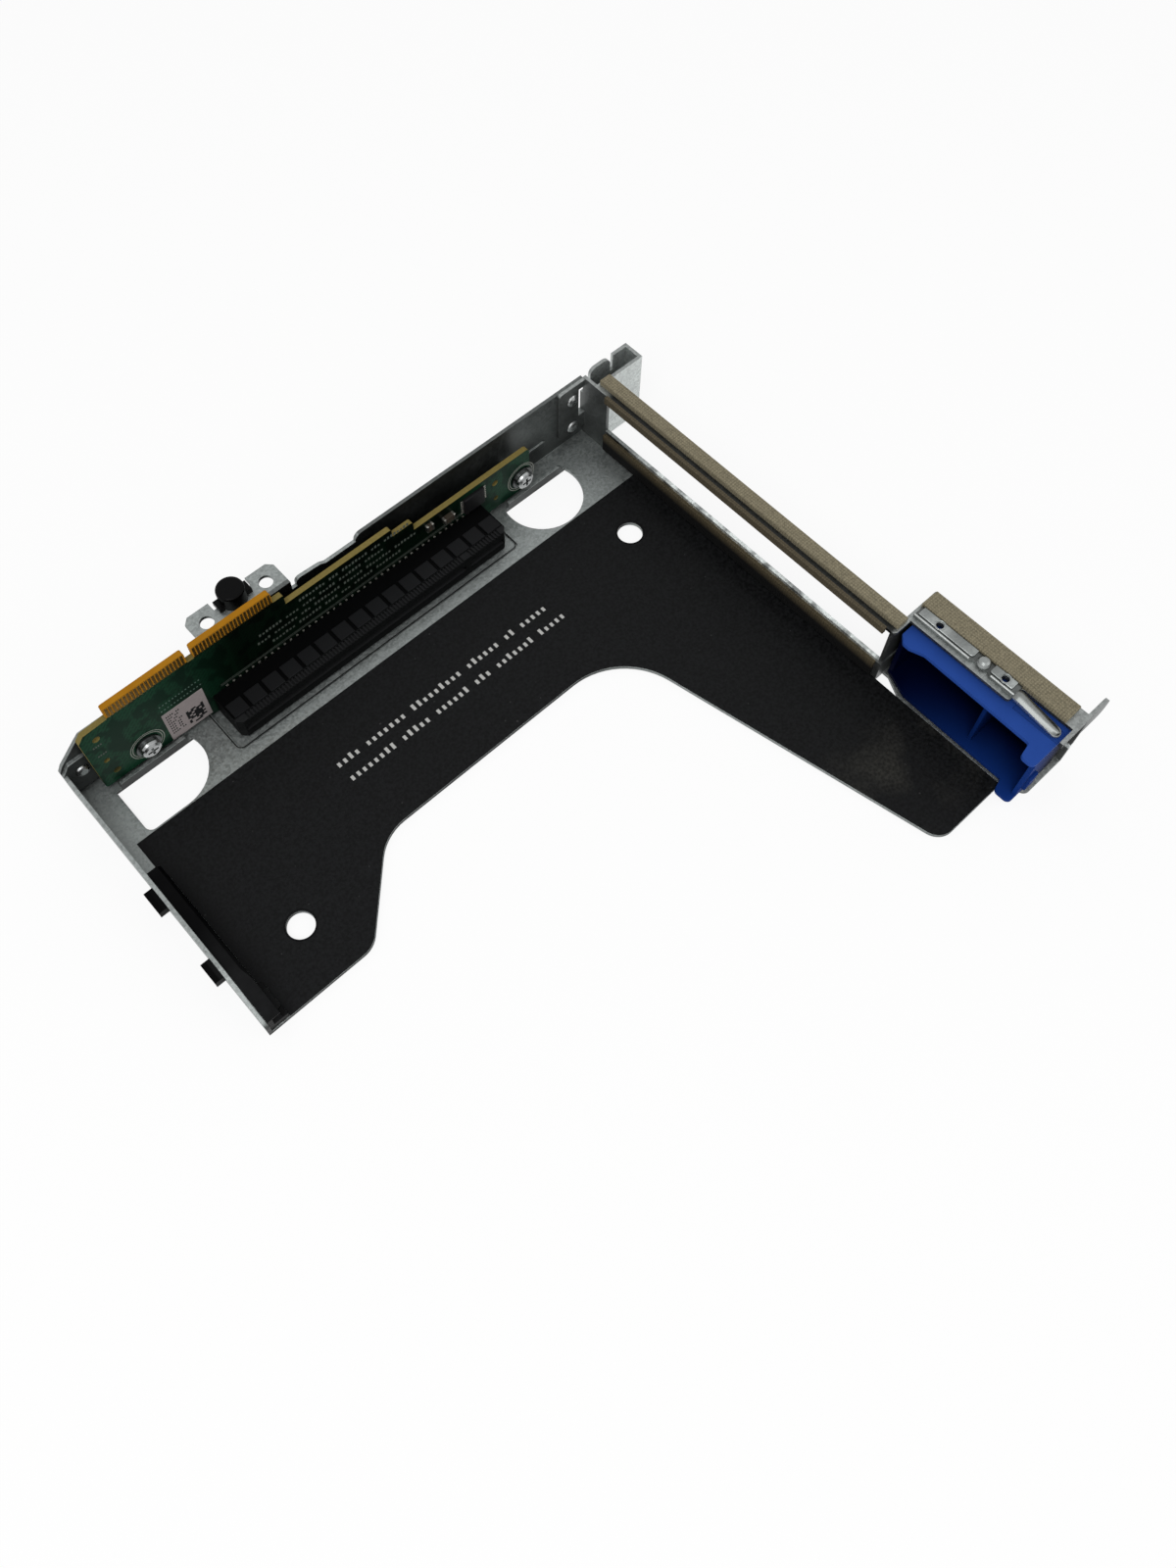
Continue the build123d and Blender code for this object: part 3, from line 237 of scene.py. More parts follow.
# Crease round the pocket under the slot, drawn as a thin line of painted shade: its outer edge, width,
# height and the radii of its corners
CREASE_X, CREASE_Y = (SLOT_LEFT - 2.9, SLOT_RIGHT + 2.2), (-18.2, -3.0)
CREASE_WIDTH = 0.3
CREASE_Z = (-0.02, 0.03)
CREASE_RADII, CREASE_INNER_RADII = (1.8, 1.8, 0.5, 0.5), (1.5, 1.5, 0.3, 0.3)


class Paint:
    """A material with a few short ways to add textures to its shader."""

    def __init__(self, name, colour, roughness, metallic=0.0, specular=0.5):
        self.material = bpy.data.materials.new(name)
        self.material.use_nodes = True
        self.nodes = self.material.node_tree.nodes
        self.links = self.material.node_tree.links
        self.shader = self.nodes["Principled BSDF"]
        self.shader.inputs["Base Color"].default_value = (*colour, 1.0)
        self.shader.inputs["Roughness"].default_value = roughness
        self.shader.inputs["Metallic"].default_value = metallic
        self.shader.inputs["Specular IOR Level"].default_value = specular
        self.place = self.nodes.new("ShaderNodeTexCoord").outputs["Object"]
        self.colour = colour
        self.normal = None

    def feed(self, socket, value):
        """A link, or a plain value, into a socket."""
        if isinstance(value, tuple):
            socket.default_value = (*value, 1.0)
        elif isinstance(value, (int, float)):
            socket.default_value = value
        else:
            self.links.new(value, socket)

    def noise(self, size_mm, detail=2.0):
        """Noise whose blobs are about this large."""
        node = self.nodes.new("ShaderNodeTexNoise")
        node.inputs["Scale"].default_value = 1000.0 / size_mm
        node.inputs["Detail"].default_value = detail
        self.links.new(self.place, node.inputs["Vector"])
        return node.outputs["Fac"]

    def spangle(self, size_mm):
        """Cells of even random grey, like zinc crystals."""
        node = self.nodes.new("ShaderNodeTexVoronoi")
        node.inputs["Scale"].default_value = 1000.0 / size_mm
        self.links.new(self.place, node.inputs["Vector"])
        split = self.nodes.new("ShaderNodeSeparateColor")
        self.links.new(node.outputs["Color"], split.inputs["Color"])
        return split.outputs["Red"]

    def spread(self, value, low, high, start=0.0, end=1.0):
        """A value moved to another range."""
        node = self.nodes.new("ShaderNodeMapRange")
        node.inputs["From Min"].default_value = start
        node.inputs["From Max"].default_value = end
        node.inputs["To Min"].default_value = low
        node.inputs["To Max"].default_value = high
        self.links.new(value, node.inputs["Value"])
        return node.outputs["Result"]

    def math(self, operation, first, second=0.0):
        """A maths node on two values or numbers."""
        node = self.nodes.new("ShaderNodeMath")
        node.operation = operation
        self.feed(node.inputs[0], first)
        self.feed(node.inputs[1], second)
        return node.outputs["Value"]

    def joined(self, operation, values):
        """One value from several, by the same operation from the first to the last."""
        result = values[0]
        for value in values[1:]:
            result = self.math(operation, result, value)
        return result

    def times(self, *values):
        """The product of values or numbers."""
        return self.joined("MULTIPLY", values)

    def most(self, *values):
        """The largest of values or numbers."""
        return self.joined("MAXIMUM", values)

    def mix(self, factor, first, second, blend="MIX"):
        """A mix of two colours, each a colour or a socket."""
        node = self.nodes.new("ShaderNodeMix")
        node.data_type = "RGBA"
        node.blend_type = blend
        self.feed(node.inputs["Factor"], factor)
        self.feed(node.inputs[6], first)
        self.feed(node.inputs[7], second)
        return node.outputs[2]

    def along(self, axis, start, end):
        """0 to 1 between two places along an axis of the working frame."""
        split = self.nodes.new("ShaderNodeSeparateXYZ")
        self.links.new(self.place, split.inputs["Vector"])
        low, high = ((value + SHIFT[axis]) / 1000 for value in (start, end))
        return self.spread(split.outputs[axis], 0.0, 1.0, low, high)

    def facing(self, axis):
        """How far the surface faces along an axis, from 0 to 1, either way."""
        geometry = self.nodes.new("ShaderNodeNewGeometry")
        split = self.nodes.new("ShaderNodeSeparateXYZ")
        self.links.new(geometry.outputs["True Normal"], split.inputs["Vector"])
        return self.math("ABSOLUTE", split.outputs[axis])

    def leaning(self, axis, towards):
        """How far the surface faces one way along an axis, from 0 to 1."""
        geometry = self.nodes.new("ShaderNodeNewGeometry")
        split = self.nodes.new("ShaderNodeSeparateXYZ")
        self.links.new(geometry.outputs["Normal"], split.inputs["Vector"])
        return self.most(self.times(split.outputs[axis], towards), 0.0)

    def mottle(self, factor, amount, colour=None):
        """The base colour, lighter and darker by this share."""
        base = colour or self.colour
        if isinstance(base, tuple):
            darker = tuple(channel * (1 - amount) for channel in base)
            lighter = tuple(min(1.0, channel * (1 + amount)) for channel in base)
            self.base(self.mix(factor, darker, lighter))
        else:
            grey = self.spread(factor, 1 - amount, 1 + amount)
            self.base(self.tone(base, grey))

    def tone(self, colour, shade):
        """A colour times a grey value."""
        return self.mix(1.0, colour, self.grey(shade), "MULTIPLY")

    def grey(self, value):
        """A grey colour from a value."""
        node = self.nodes.new("ShaderNodeCombineColor")
        for socket in node.inputs:
            self.links.new(value, socket)
        return node.outputs["Color"]

    def base(self, socket):
        """Feeds the base colour."""
        self.links.new(socket, self.shader.inputs["Base Color"])

    def rough(self, factor, low, high):
        """Roughness between two values."""
        self.links.new(self.spread(factor, low, high), self.shader.inputs["Roughness"])

    def soften(self, radius_mm):
        """Rounds sharp edges in the shading, and gives the paint back."""
        node = self.nodes.new("ShaderNodeBevel")
        node.samples = 4
        node.inputs["Radius"].default_value = radius_mm / 1000
        self.normal = node.outputs["Normal"]
        self.links.new(self.normal, self.shader.inputs["Normal"])
        return self

    def relief(self, height, depth_mm, strength=1.0):
        """Surface relief from a height value."""
        node = self.nodes.new("ShaderNodeBump")
        node.inputs["Strength"].default_value = strength
        node.inputs["Distance"].default_value = depth_mm / 1000
        self.links.new(height, node.inputs["Height"])
        if self.normal:
            self.links.new(self.normal, node.inputs["Normal"])
        self.links.new(node.outputs["Normal"], self.shader.inputs["Normal"])


def outer_faces(paint, sideways):
    """1 on the faces that look away from the inside of the cage, to the back or to the given side."""
    outward = paint.math("ADD", paint.leaning(1, 1.0), paint.leaning(0, sideways))
    return paint.math("MINIMUM", outward, 1.0)


def tray_shade(paint, shade):
    """Painted shade: the board's shadow on the wall, a darker rim, shade on the cut edge under the film."""
    beside = paint.most(paint.along(0, *WALL_SHADOW_FADE), paint.facing(2))
    rim = paint.times(paint.along(2, *RIM_HEIGHT), paint.facing(2), paint.along(1, *RIM_DEPTH))
    off_cut = paint.most(paint.along(2, *PLATE_FACE), paint.facing(2), paint.along(1, *BEHIND_FILM))
    # Painted shadow of the board on the wall, a darker upper rim, and painted shade on the cut edge under
    # the film
    wall = paint.spread(beside, WALL_SHADOW, 1.0)
    upper = paint.spread(rim, 1.0, DARK_RIM)
    lower = paint.spread(off_cut, CUT_SHADE, 1.0)
    darkened = paint.times(shade, wall, upper, lower)
    return paint.most(darkened, paint.times(outer_faces(paint, -1.0), OUTER_SHADE))


def bracket_shade(paint, shade):
    """Paints a highlight on the corner channel and lower rail, and a shadow in the upper rail's open strip.
    """
    outer = outer_faces(paint, 1.0)
    inner = paint.math("SUBTRACT", 1.0, outer)
    upright = paint.math("SUBTRACT", inner, paint.facing(2))
    # Painted highlight on the corner channel, and painted shadow in the open strip of the upper rail
    corner = paint.times(paint.along(0, *CORNER_X), paint.along(1, *CORNER_Y), upright, CORNER_HIGHLIGHT)
    strip = paint.times(paint.along(0, *STRIP_X), paint.along(1, *STRIP_BACK),
                        paint.along(1, *STRIP_FRONT), paint.along(2, *STRIP_Z))
    # Painted reflection on the lower rail, uneven in streaky noise
    low_rail_reflection = paint.times(paint.along(2, *LOW_RAIL_TOP), paint.along(2, *LOW_RAIL_FOOT),
                           paint.along(1, *LOW_RAIL_BACK))
    painted_streaks = paint.times(inner, paint.spread(paint.noise(5.0), 0.9, 2.9, start=0.4, end=0.55))
    shade = paint.times(paint.most(shade, corner), paint.spread(strip, 1.0, STRIP_SHADOW))
    return paint.most(shade, paint.times(low_rail_reflection, painted_streaks), paint.times(outer, OUTER_SHADE))


def sheet_metal(name, colour, side_shade, local_shade):
    """Galvanised sheet: fine zinc grain, faint clouds, and streaky painted shade on upright faces."""
    paint = Paint(name, colour, 0.4, metallic=0.85).soften(0.25)
    grain = paint.math("ADD", paint.noise(0.5, 1.0), paint.spangle(0.6))
    clouds = paint.noise(11.0, 3.0)
    level = paint.math("ADD", paint.times(grain, 0.5), paint.times(clouds, 0.22))
    # Painted shade on upright faces, made streaky by noise, with each piece's own painted light and shade on
    # top
    painted_streaks = paint.spread(paint.noise(22.0, 1.0), 0.4, 1.9, start=0.35, end=0.65)
    facing_up = paint.spread(paint.facing(2), 0.0, 1.0, start=0.1, end=0.8)
    shade = local_shade(paint, paint.most(facing_up, paint.times(painted_streaks, side_shade)))
    paint.mottle(level, 0.4, paint.tone(colour, shade))
    paint.rough(level, 0.28, 0.55)
    paint.relief(grain, 0.02, 0.3)
    return paint.material


def black_film():
    """Matt black film with a faint leather grain, a few specks of dust and a patch of painted sheen."""
    black, dust_grey, painted_sheen = (0.0055, 0.0058, 0.0062), (0.08, 0.08, 0.08), (0.022, 0.0216, 0.019)
    paint = Paint("film", black, 0.5, specular=0.09).soften(0.1)
    grain = paint.spread(paint.noise(0.75), 0.0, 1.0, start=0.34, end=0.66)
    dust = paint.math("GREATER_THAN", paint.noise(1.1, 0.0), 0.86)
    base = paint.mix(paint.times(dust, 0.25), black, dust_grey)
    # Painted sheen: a lighter patch of the film near its arm's tip, mixed over the black
    patches = paint.spread(paint.noise(15.0), 0.0, 0.9, start=0.42, end=0.62)
    wear = paint.times(paint.along(1, *SHEEN_BACK), paint.along(1, *SHEEN_FRONT), patches)
    paint.mottle(grain, 0.45, paint.mix(wear, base, painted_sheen))
    paint.rough(grain, 0.42, 0.6)
    paint.relief(grain, 0.03, 0.5)
    return paint.material


def moulded(name, colour, roughness, grain_mm=0.5, specular=0.2):
    """Moulded plastic with a light spark-eroded texture."""
    paint = Paint(name, colour, roughness, specular=specular).soften(0.2)
    grain = paint.noise(grain_mm)
    paint.mottle(paint.noise(7.0), 0.12)
    paint.rough(grain, roughness - 0.06, roughness + 0.08)
    paint.relief(grain, 0.02, 0.35)
    return paint.material


def guide_plastic():
    """Black plastic, a little lighter on top towards the open end of the guide, as a painted sheen."""
    black, sheen = (0.0008, 0.0008, 0.001), (0.0095, 0.0098, 0.0102)
    paint = Paint("guide_plastic", black, 0.22, specular=0.03).soften(0.35)
    upward = paint.spread(paint.facing(2), 0.0, 1.0, start=0.5, end=1.0)
    towards_end = paint.spread(paint.along(1, *GUIDE_END), 0.15, 1.0)
    inside = paint.spread(paint.along(0, *GUIDE_INSIDE), 0.15, 1.0)
    # Painted sheen on upward faces, towards the open end and faint inside the flange
    light = paint.times(towards_end, inside, upward)
    paint.mottle(paint.noise(3.0, 3.0), 0.5, paint.mix(light, black, sheen))
    grain = paint.noise(0.5)
    paint.rough(grain, 0.15, 0.35)
    paint.relief(grain, 0.02, 0.3)
    return paint.material


def slot_plastic():
    """Black glass-filled plastic, with a painted sheen on the upward faces of the slot's front edge."""
    black, painted_sheen = (0.0012, 0.0013, 0.0014), (0.014, 0.0145, 0.015)
    paint = Paint("slot_plastic", black, 0.5, specular=0.04).soften(0.15)
    # Painted sheen on the upward faces of the front edge
    front = paint.times(paint.along(1, *SLOT_EDGE), paint.facing(2))
    paint.mottle(paint.noise(0.6, 3.0), 0.35, paint.mix(front, black, painted_sheen))
    paint.rough(paint.noise(0.8), 0.4, 0.6)
    return paint.material


def latch_plastic():
    """Blue plastic, in deep shade inside the hollow of the latch."""
    blue, dark, dim = (0.021, 0.066, 0.30), (0.0003, 0.0012, 0.013), (0.006, 0.03, 0.17)
    paint = Paint("latch_plastic", blue, 0.55, specular=0.02).soften(0.2)
    reached = paint.times(paint.along(0, *HOLLOW_X), paint.along(1, *HOLLOW_Y))
    hollow = paint.mix(reached, dark, dim)
    paint.mottle(paint.noise(5.0), 0.08, paint.mix(paint.along(2, *LATCH_RIM), hollow, blue))
    grain = paint.noise(0.4)
    paint.rough(grain, 0.5, 0.65)
    paint.relief(grain, 0.015, 0.3)
    return paint.material


def bright_metal(name, colour, roughness):
    """Plated metal, smooth with fine wear."""
    paint = Paint(name, colour, roughness, metallic=1.0).soften(0.12)
    wear = paint.noise(1.2, 4.0)
    paint.mottle(wear, 0.25)
    paint.rough(wear, roughness - 0.06, roughness + 0.12)
    return paint.material


def pressed_steel():
    """Bright pressed steel, painted light on the slopes facing the free edge and painted shade on the
    others.
    """
    low, high = (0.085, 0.09, 0.088), (0.25, 0.265, 0.26)
    paint = Paint("pressed_steel", high, 0.28, metallic=0.9).soften(0.2)
    # Painted shade on the flat face between the raised pads
    groove_shade = paint.times(paint.along(1, *GROOVE_Y), paint.along(2, *GROOVE_Z))
    colour = paint.mix(groove_shade, high, low)
    # Painted reflection: lighter slopes facing the free edge, darker slopes facing away, in patches of
    # painted shine
    slope = paint.math("ADD", 1.0, paint.times(paint.leaning(0, -1.0), 1.2))
    slope = paint.math("SUBTRACT", slope, paint.times(paint.leaning(0, 1.0), 0.6))
    shine = paint.spread(paint.noise(7.0, 0.0), 0.75, 1.45, start=0.35, end=0.7)
    wear = paint.noise(0.7, 4.0)
    paint.mottle(wear, 0.3, paint.tone(colour, paint.times(slope, shine)))
    paint.rough(wear, 0.2, 0.42)
    return paint.material


def woven_tape(name, colour, rising=None):
    """Woven conductive fabric: crossing threads and a little fuzz, in shade below a height if asked."""
    paint = Paint(name, colour, 0.75, specular=0.15)
    threads = []
    for axis in ("X", "Y"):
        wave = paint.nodes.new("ShaderNodeTexWave")
        wave.bands_direction = axis
        wave.inputs["Scale"].default_value = 420.0
        wave.inputs["Distortion"].default_value = 2.5
        wave.inputs["Detail Scale"].default_value = 3.0
        paint.links.new(paint.place, wave.inputs["Vector"])
        threads.append(wave.outputs["Fac"])
    weave = paint.times(*threads, 0.35)
    fuzz = paint.math("ADD", weave, paint.times(paint.noise(0.45, 3.0), 0.9))
    base = paint.mix(paint.along(2, *rising), (0.003, 0.003, 0.003), colour) if rising else None
    paint.mottle(fuzz, 0.75, base)
    paint.rough(fuzz, 0.6, 0.9)
    paint.relief(fuzz, 0.12, 0.5)
    return paint.material


def circuit_board():
    """Green solder mask with faint tracks, olive cut edges and an amber strip behind the fingers."""
    paint = Paint("board", (0.01, 0.04, 0.02), 0.4, specular=0.04)
    # Painted shade: the mask and tracks are dark in the middle of the board and lighter towards its ends
    ends = paint.math("ADD", paint.along(0, *BOARD_LEFT_END), paint.along(0, *BOARD_RIGHT_END))
    mask = paint.mix(ends, (0.0008, 0.0022, 0.0011), (0.0045, 0.021, 0.0115))
    track = paint.mix(ends, (0.0014, 0.005, 0.0024), (0.009, 0.043, 0.022))
    bricks = paint.nodes.new("ShaderNodeTexBrick")
    bricks.inputs["Scale"].default_value = 240.0
    bricks.inputs["Mortar Size"].default_value = 0.07
    turn = paint.nodes.new("ShaderNodeMapping")
    turn.inputs["Rotation"].default_value = (math.radians(90), 0, math.radians(45))
    paint.links.new(paint.place, turn.inputs["Vector"])
    paint.links.new(turn.outputs["Vector"], bricks.inputs["Vector"])
    patches = paint.spread(paint.noise(5.0, 3.0), 0.0, 1.0, start=0.46, end=0.54)
    lines = paint.times(bricks.outputs["Fac"], patches)
    copper = paint.math("MINIMUM", paint.math("ADD", lines, paint.times(patches, 0.4)), 1.0)
    cut = paint.math("LESS_THAN", paint.facing(1), 0.6)
    low_edge = paint.times(cut, paint.along(2, *BOARD_LOW_EDGE))
    high = paint.along(2, *BOARD_AMBER)
    amber = paint.mix(paint.noise(3.0), (0.30, 0.12, 0.006), (0.42, 0.19, 0.012))
    olive = paint.mix(paint.noise(0.5, 3.0), (0.135, 0.105, 0.03), (0.23, 0.18, 0.06))
    edged = paint.mix(low_edge, paint.mix(copper, mask, track), olive)
    paint.base(paint.mix(high, edged, amber))
    paint.rough(paint.most(cut, high), 0.35, 0.6)
    paint.relief(copper, 0.02, 0.4)
    return paint.material


def printed(name, colour):
    """Ink or paper that lies on a surface."""
    paint = Paint(name, colour, 0.6, specular=0.1)
    paint.mottle(paint.noise(0.4), 0.15)
    return paint.material


# The tray and the bracket, with their upright faces in painted shade at these shares
TRAY_METAL = sheet_metal("galvanised_tray", (0.25, 0.27, 0.265), 0.35, tray_shade)
BRACKET_METAL = sheet_metal("galvanised_bracket", (0.25, 0.265, 0.26), 0.3, bracket_shade)
SPRING_METAL = pressed_steel()
BLACK_PLASTIC = moulded("black_plastic", (0.0012, 0.0012, 0.0014), 0.25, specular=0.07)
NICKEL = bright_metal("nickel", (0.34, 0.35, 0.35), 0.22)
PLATED = bright_metal("plated_steel", (0.27, 0.285, 0.28), 0.32)
GOLD = bright_metal("gold_finger", (0.34, 0.20, 0.05), 0.3)
SOLDER = bright_metal("solder", (0.42, 0.41, 0.37), 0.3)
TAPE = woven_tape("tape", (0.185, 0.163, 0.11))
INK = printed("white_ink", (0.46, 0.46, 0.445))
DIM_INK = printed("dim_ink", (0.075, 0.088, 0.075))
LABEL_INK = printed("label_ink", (0.006, 0.006, 0.007))

LOOKS = {
    "tray": TRAY_METAL,
    "insulating_film": black_film(),
    "riser_board": circuit_board(),
    "edge_fingers": GOLD,
    "slot_housing": slot_plastic(),
    "slot_contacts": GOLD,
    "solder_tails": SOLDER,
    "board_standoffs": PLATED,
    "board_washers": bright_metal("washer", (0.07, 0.075, 0.075), 0.25),
    "board_screw_left": NICKEL,
    "board_screw_right": NICKEL,
    "control_chip": moulded("chip", (0.005, 0.005, 0.0055), 0.5, specular=0.15),
    "capacitors": moulded("capacitor", (0.035, 0.028, 0.02), 0.5),
    "board_label": printed("label", (0.29, 0.255, 0.252)),
    "rear_bracket": BRACKET_METAL,
    "bracket_rivets": bright_metal("bright_rivet", (0.42, 0.43, 0.43), 0.25),
    "corner_rivet": bright_metal("corner_rivet", (0.42, 0.43, 0.43), 0.25),
    "rail_gasket": TAPE,
    # Darker copies of the tape as painted shade: the window's tape, and the lower tape, in deeper painted
    # shade below a height
    "window_gasket": woven_tape("shaded_tape", (0.075, 0.062, 0.04)),
    "lower_gasket": woven_tape("shaded_low_tape", (0.06, 0.048, 0.028), LOW_TAPE_LIT),
    "bay_gasket": TAPE,
    "card_latch": latch_plastic(),
    "latch_pin": PLATED,
    "latch_spring": SPRING_METAL,
    "spring_rivet": PLATED,
    "card_guide": guide_plastic(),
    "guide_post": BLACK_PLASTIC,
}

for node, look in LOOKS.items():
    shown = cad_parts[node]
    shown.data.materials.clear()
    shown.data.materials.append(look)


def add_mesh(name, vertices, faces, look, round_mm=0.0):
    """A mesh object in the row frame that rides on the cage, with its edges rounded if asked."""
    mesh = bpy.data.meshes.new(name)
    mesh.from_pydata(vertices, [], faces)
    mesh.materials.append(look)
    piece = bpy.data.objects.new(name, mesh)
    bpy.context.scene.collection.objects.link(piece)
    if round_mm:
        bevel = piece.modifiers.new("round", "BEVEL")
        bevel.width = round_mm / 1000
        bevel.segments = 3
    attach(piece, BODY)
    return piece


def blocks(name, spans, look, round_mm=0.0):
    """One object made of boxes, each given by its low and high values along X, Y and Z."""
    faces_of_box = ((0, 1, 3, 2), (4, 6, 7, 5), (0, 4, 5, 1), (2, 3, 7, 6), (0, 2, 6, 4), (1, 5, 7, 3))
    vertices, faces = [], []
    for x, y, z in spans:
        start = len(vertices)
        vertices += [to_row(a, b, c) for a in x for b in y for c in z]
        faces += [tuple(start + corner for corner in face) for face in faces_of_box]
    add_mesh(name, vertices, faces, look, round_mm)


def rings(name, circles, look, upright, rise, steps=40):
    """Flat rings, each given by its centre, inner and outer radius, upright on the board or lying flat."""
    vertices, faces = [], []
    for (x, y, z), inner, outer in circles:
        start = len(vertices)
        for step in range(steps):
            angle = 2 * math.pi * step / steps
            for radius, height in ((inner, 0), (outer, 0), (outer, rise), (inner, rise)):
                across, up = radius * math.cos(angle), radius * math.sin(angle)
                spot = (x + across, y - height, z + up) if upright else (x + across, y - up, z + height)
                vertices.append(to_row(*spot))
        for step in range(steps):
            here, there = start + 4 * step, start + 4 * ((step + 1) % steps)
            for corner in range(4):
                after = (corner + 1) % 4
                faces.append((here + corner, here + after, there + after, there + corner))
    add_mesh(name, vertices, faces, look)


def letter_places(start, words, letter, advance):
    """Low and high ends of the letter-wide blocks of a row, with one space after each word."""
    ends, place = [], start
    for length in words:
        for _ in range(length):
            ends.append((place, place + letter))
            place += advance
        place += advance
    return ends


def rolled_strip(name, stations, left, right, crown, look, steps=12):
    """A strip with an arched top, from places along Y with the height and the inset of its sides there."""
    vertices, faces = [], []
    for y, height, inset in stations:
        for step in range(steps + 1):
            share = step / steps
            x = left + inset + (right - left - 2 * inset) * share
            vertices.append(to_row(x, y, height + crown * math.sin(math.pi * share)))
    for number in range(len(stations) - 1):
        for step in range(steps):
            here = number * (steps + 1) + step
            faces.append((here, here + 1, here + steps + 2, here + steps + 1))
    last = (len(stations) - 1) * (steps + 1)
    faces += [tuple(range(steps, -1, -1)), tuple(range(last, last + steps + 1))]
    piece = add_mesh(name, vertices, faces, look)
    piece.data.shade_smooth()


def rounded_corners(x, y, radii, steps=6):
    """Points round a rectangle whose four corners have the given radii, from low X and low Y on."""
    corners = ((x[0], y[0], 180), (x[1], y[0], 270), (x[1], y[1], 0), (x[0], y[1], 90))
    points = []
    for (corner_x, corner_y, start), radius in zip(corners, radii):
        centre_x = corner_x + (radius if corner_x == x[0] else -radius)
        centre_y = corner_y + (radius if corner_y == y[0] else -radius)
        for step in range(steps + 1):
            angle = math.radians(start + 90 * step / steps)
            points.append((centre_x + radius * math.cos(angle), centre_y + radius * math.sin(angle)))
    return points


def circle(x, y, radius, steps=32):
    """Points round a circle."""
    angles = [2 * math.pi * step / steps for step in range(steps)]
    return [(x + radius * math.cos(angle), y + radius * math.sin(angle)) for angle in angles]


def plate(name, outlines, low, high, look, round_mm):
    """A flat plate between two heights, from closed outlines, of which the inner ones are holes."""
    curve = bpy.data.curves.new(name, "CURVE")
    curve.dimensions = "2D"
    curve.fill_mode = "BOTH"
    curve.extrude = (high - low) / 2000 - round_mm / 1000
    curve.bevel_depth = round_mm / 1000
    curve.bevel_resolution = 2
    curve.offset = -round_mm / 1000
    for points in outlines:
        spline = curve.splines.new("POLY")
        spline.points.add(len(points) - 1)
        spline.use_cyclic_u = True
        for point, (x, y) in zip(spline.points, points):
            point.co = (*to_row(x, y, (low + high) / 2)[:2], 0.0, 1.0)
    drawn = bpy.data.objects.new(name + "_outline", curve)
    mesh = bpy.data.meshes.new_from_object(drawn)
    bpy.data.objects.remove(drawn)
    mesh.name = name
    mesh.transform(Matrix.Translation((0, 0, to_row(0, 0, (low + high) / 2)[2])))
    mesh.materials.clear()
    mesh.materials.append(look)
    piece = bpy.data.objects.new(name, mesh)
    bpy.context.scene.collection.objects.link(piece)
    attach(piece, BODY)


def edge_details():
    """The film's own rims round its two holes, and the outer edge of the bay's tape."""
    rims = [((x, y, 0.0), *FILM_RIM) for x, y in FILM_HOLES]
    rings("film_hole_rims", rims, LOOKS["insulating_film"], upright=False, rise=FILM_TOP)
    (_, outer), along, (low, high) = TAPE_SPANS
    edge = ((outer - TAPE_OVERLAP, outer + TAPE_OUT), along, (low, high - TAPE_LOWER))
    blocks("bay_tape_edge", [edge], TAPE, round_mm=0.25)


def slot_tiles():
    """Low tiles on the slot, each over a raised block of its housing, lighter as a painted sheen."""
    pitch = (SLOT_RIGHT - SLOT_LEFT) / TILES
    deep = tuple(SLOT_FRONT + reach for reach in TILE_REACH)
    height = (SLOT_TOP - TILE_SINK, SLOT_TOP + TILE_RISE)
    tiles = []
    for number in range(TILES):
        middle = SLOT_LEFT + (number + 0.5) * pitch
        tiles.append(((middle - TILE_WIDTH / 2, middle + TILE_WIDTH / 2), deep, height))
    tile_sheen_look = moulded("sheen_tile_plastic", (0.0092, 0.0096, 0.0102), 0.45, grain_mm=0.6, specular=0.06)
    blocks("slot_tiles", tiles, tile_sheen_look, round_mm=0.12)


def film_print():
    """Two rows of plain blocks printed on the film."""
    letters = []
    for base, start, words in FILM_ROWS:
        for ends in letter_places(start, words, FILM_LETTER, FILM_ADVANCE):
            tall = chance.choice(FILM_LETTER_TALL)
            letters.append((ends, (base, base + tall), (FILM_TOP, FILM_TOP + INK_THICK)))
    blocks("film_print", letters, INK)


def board_print():
    """Lines, rows of blocks, rings and dots of ink on the board."""
    ink = (BOARD_FACE - INK_THICK, BOARD_FACE)
    line_low = SLOT_TOP + LINE_RISE
    across = (SLOT_LEFT + LINE_INSET, SLOT_RIGHT - LINE_INSET)
    marks = [(across, ink, (z, z + LINE_WIDTH)) for z in (line_low, line_low + LINE_PITCH)]
    for base, start, end in BOARD_ROWS:
        place = start
        while place < end:
            length = chance.randint(*BOARD_WORD)
            for ends in letter_places(place, (length,), BOARD_LETTER, BOARD_ADVANCE):
                marks.append((ends, ink, (base, base + chance.choice(BOARD_LETTER_TALL))))
            place += (length + 1) * BOARD_ADVANCE
    for base in SHORT_ROWS:
        row = letter_places(SHORT_START, SHORT_WORD, SHORT_LETTER, SHORT_ADVANCE)
        marks += [(ends, ink, (base, base + SHORT_TALL)) for ends in row]
    blocks("board_print", marks, DIM_INK)
    rims = [((x, BOARD_FACE, SCREW_HEIGHT), *radii) for x in SCREWS for radii in SCREW_RINGS]
    ring_ink = printed("ring_ink", (0.27, 0.28, 0.25))
    rings("screw_rings", rims, ring_ink, upright=True, rise=INK_THICK)
    starts = [DOT_START + step * DOT_PITCH for step in range(DOTS)]
    dots = [((x, x + DOT_SIZE), ink, (z, z + DOT_SIZE)) for z in DOT_ROWS for x in starts]
    blocks("test_dots", dots, printed("pale_pads", (0.10, 0.16, 0.13)))


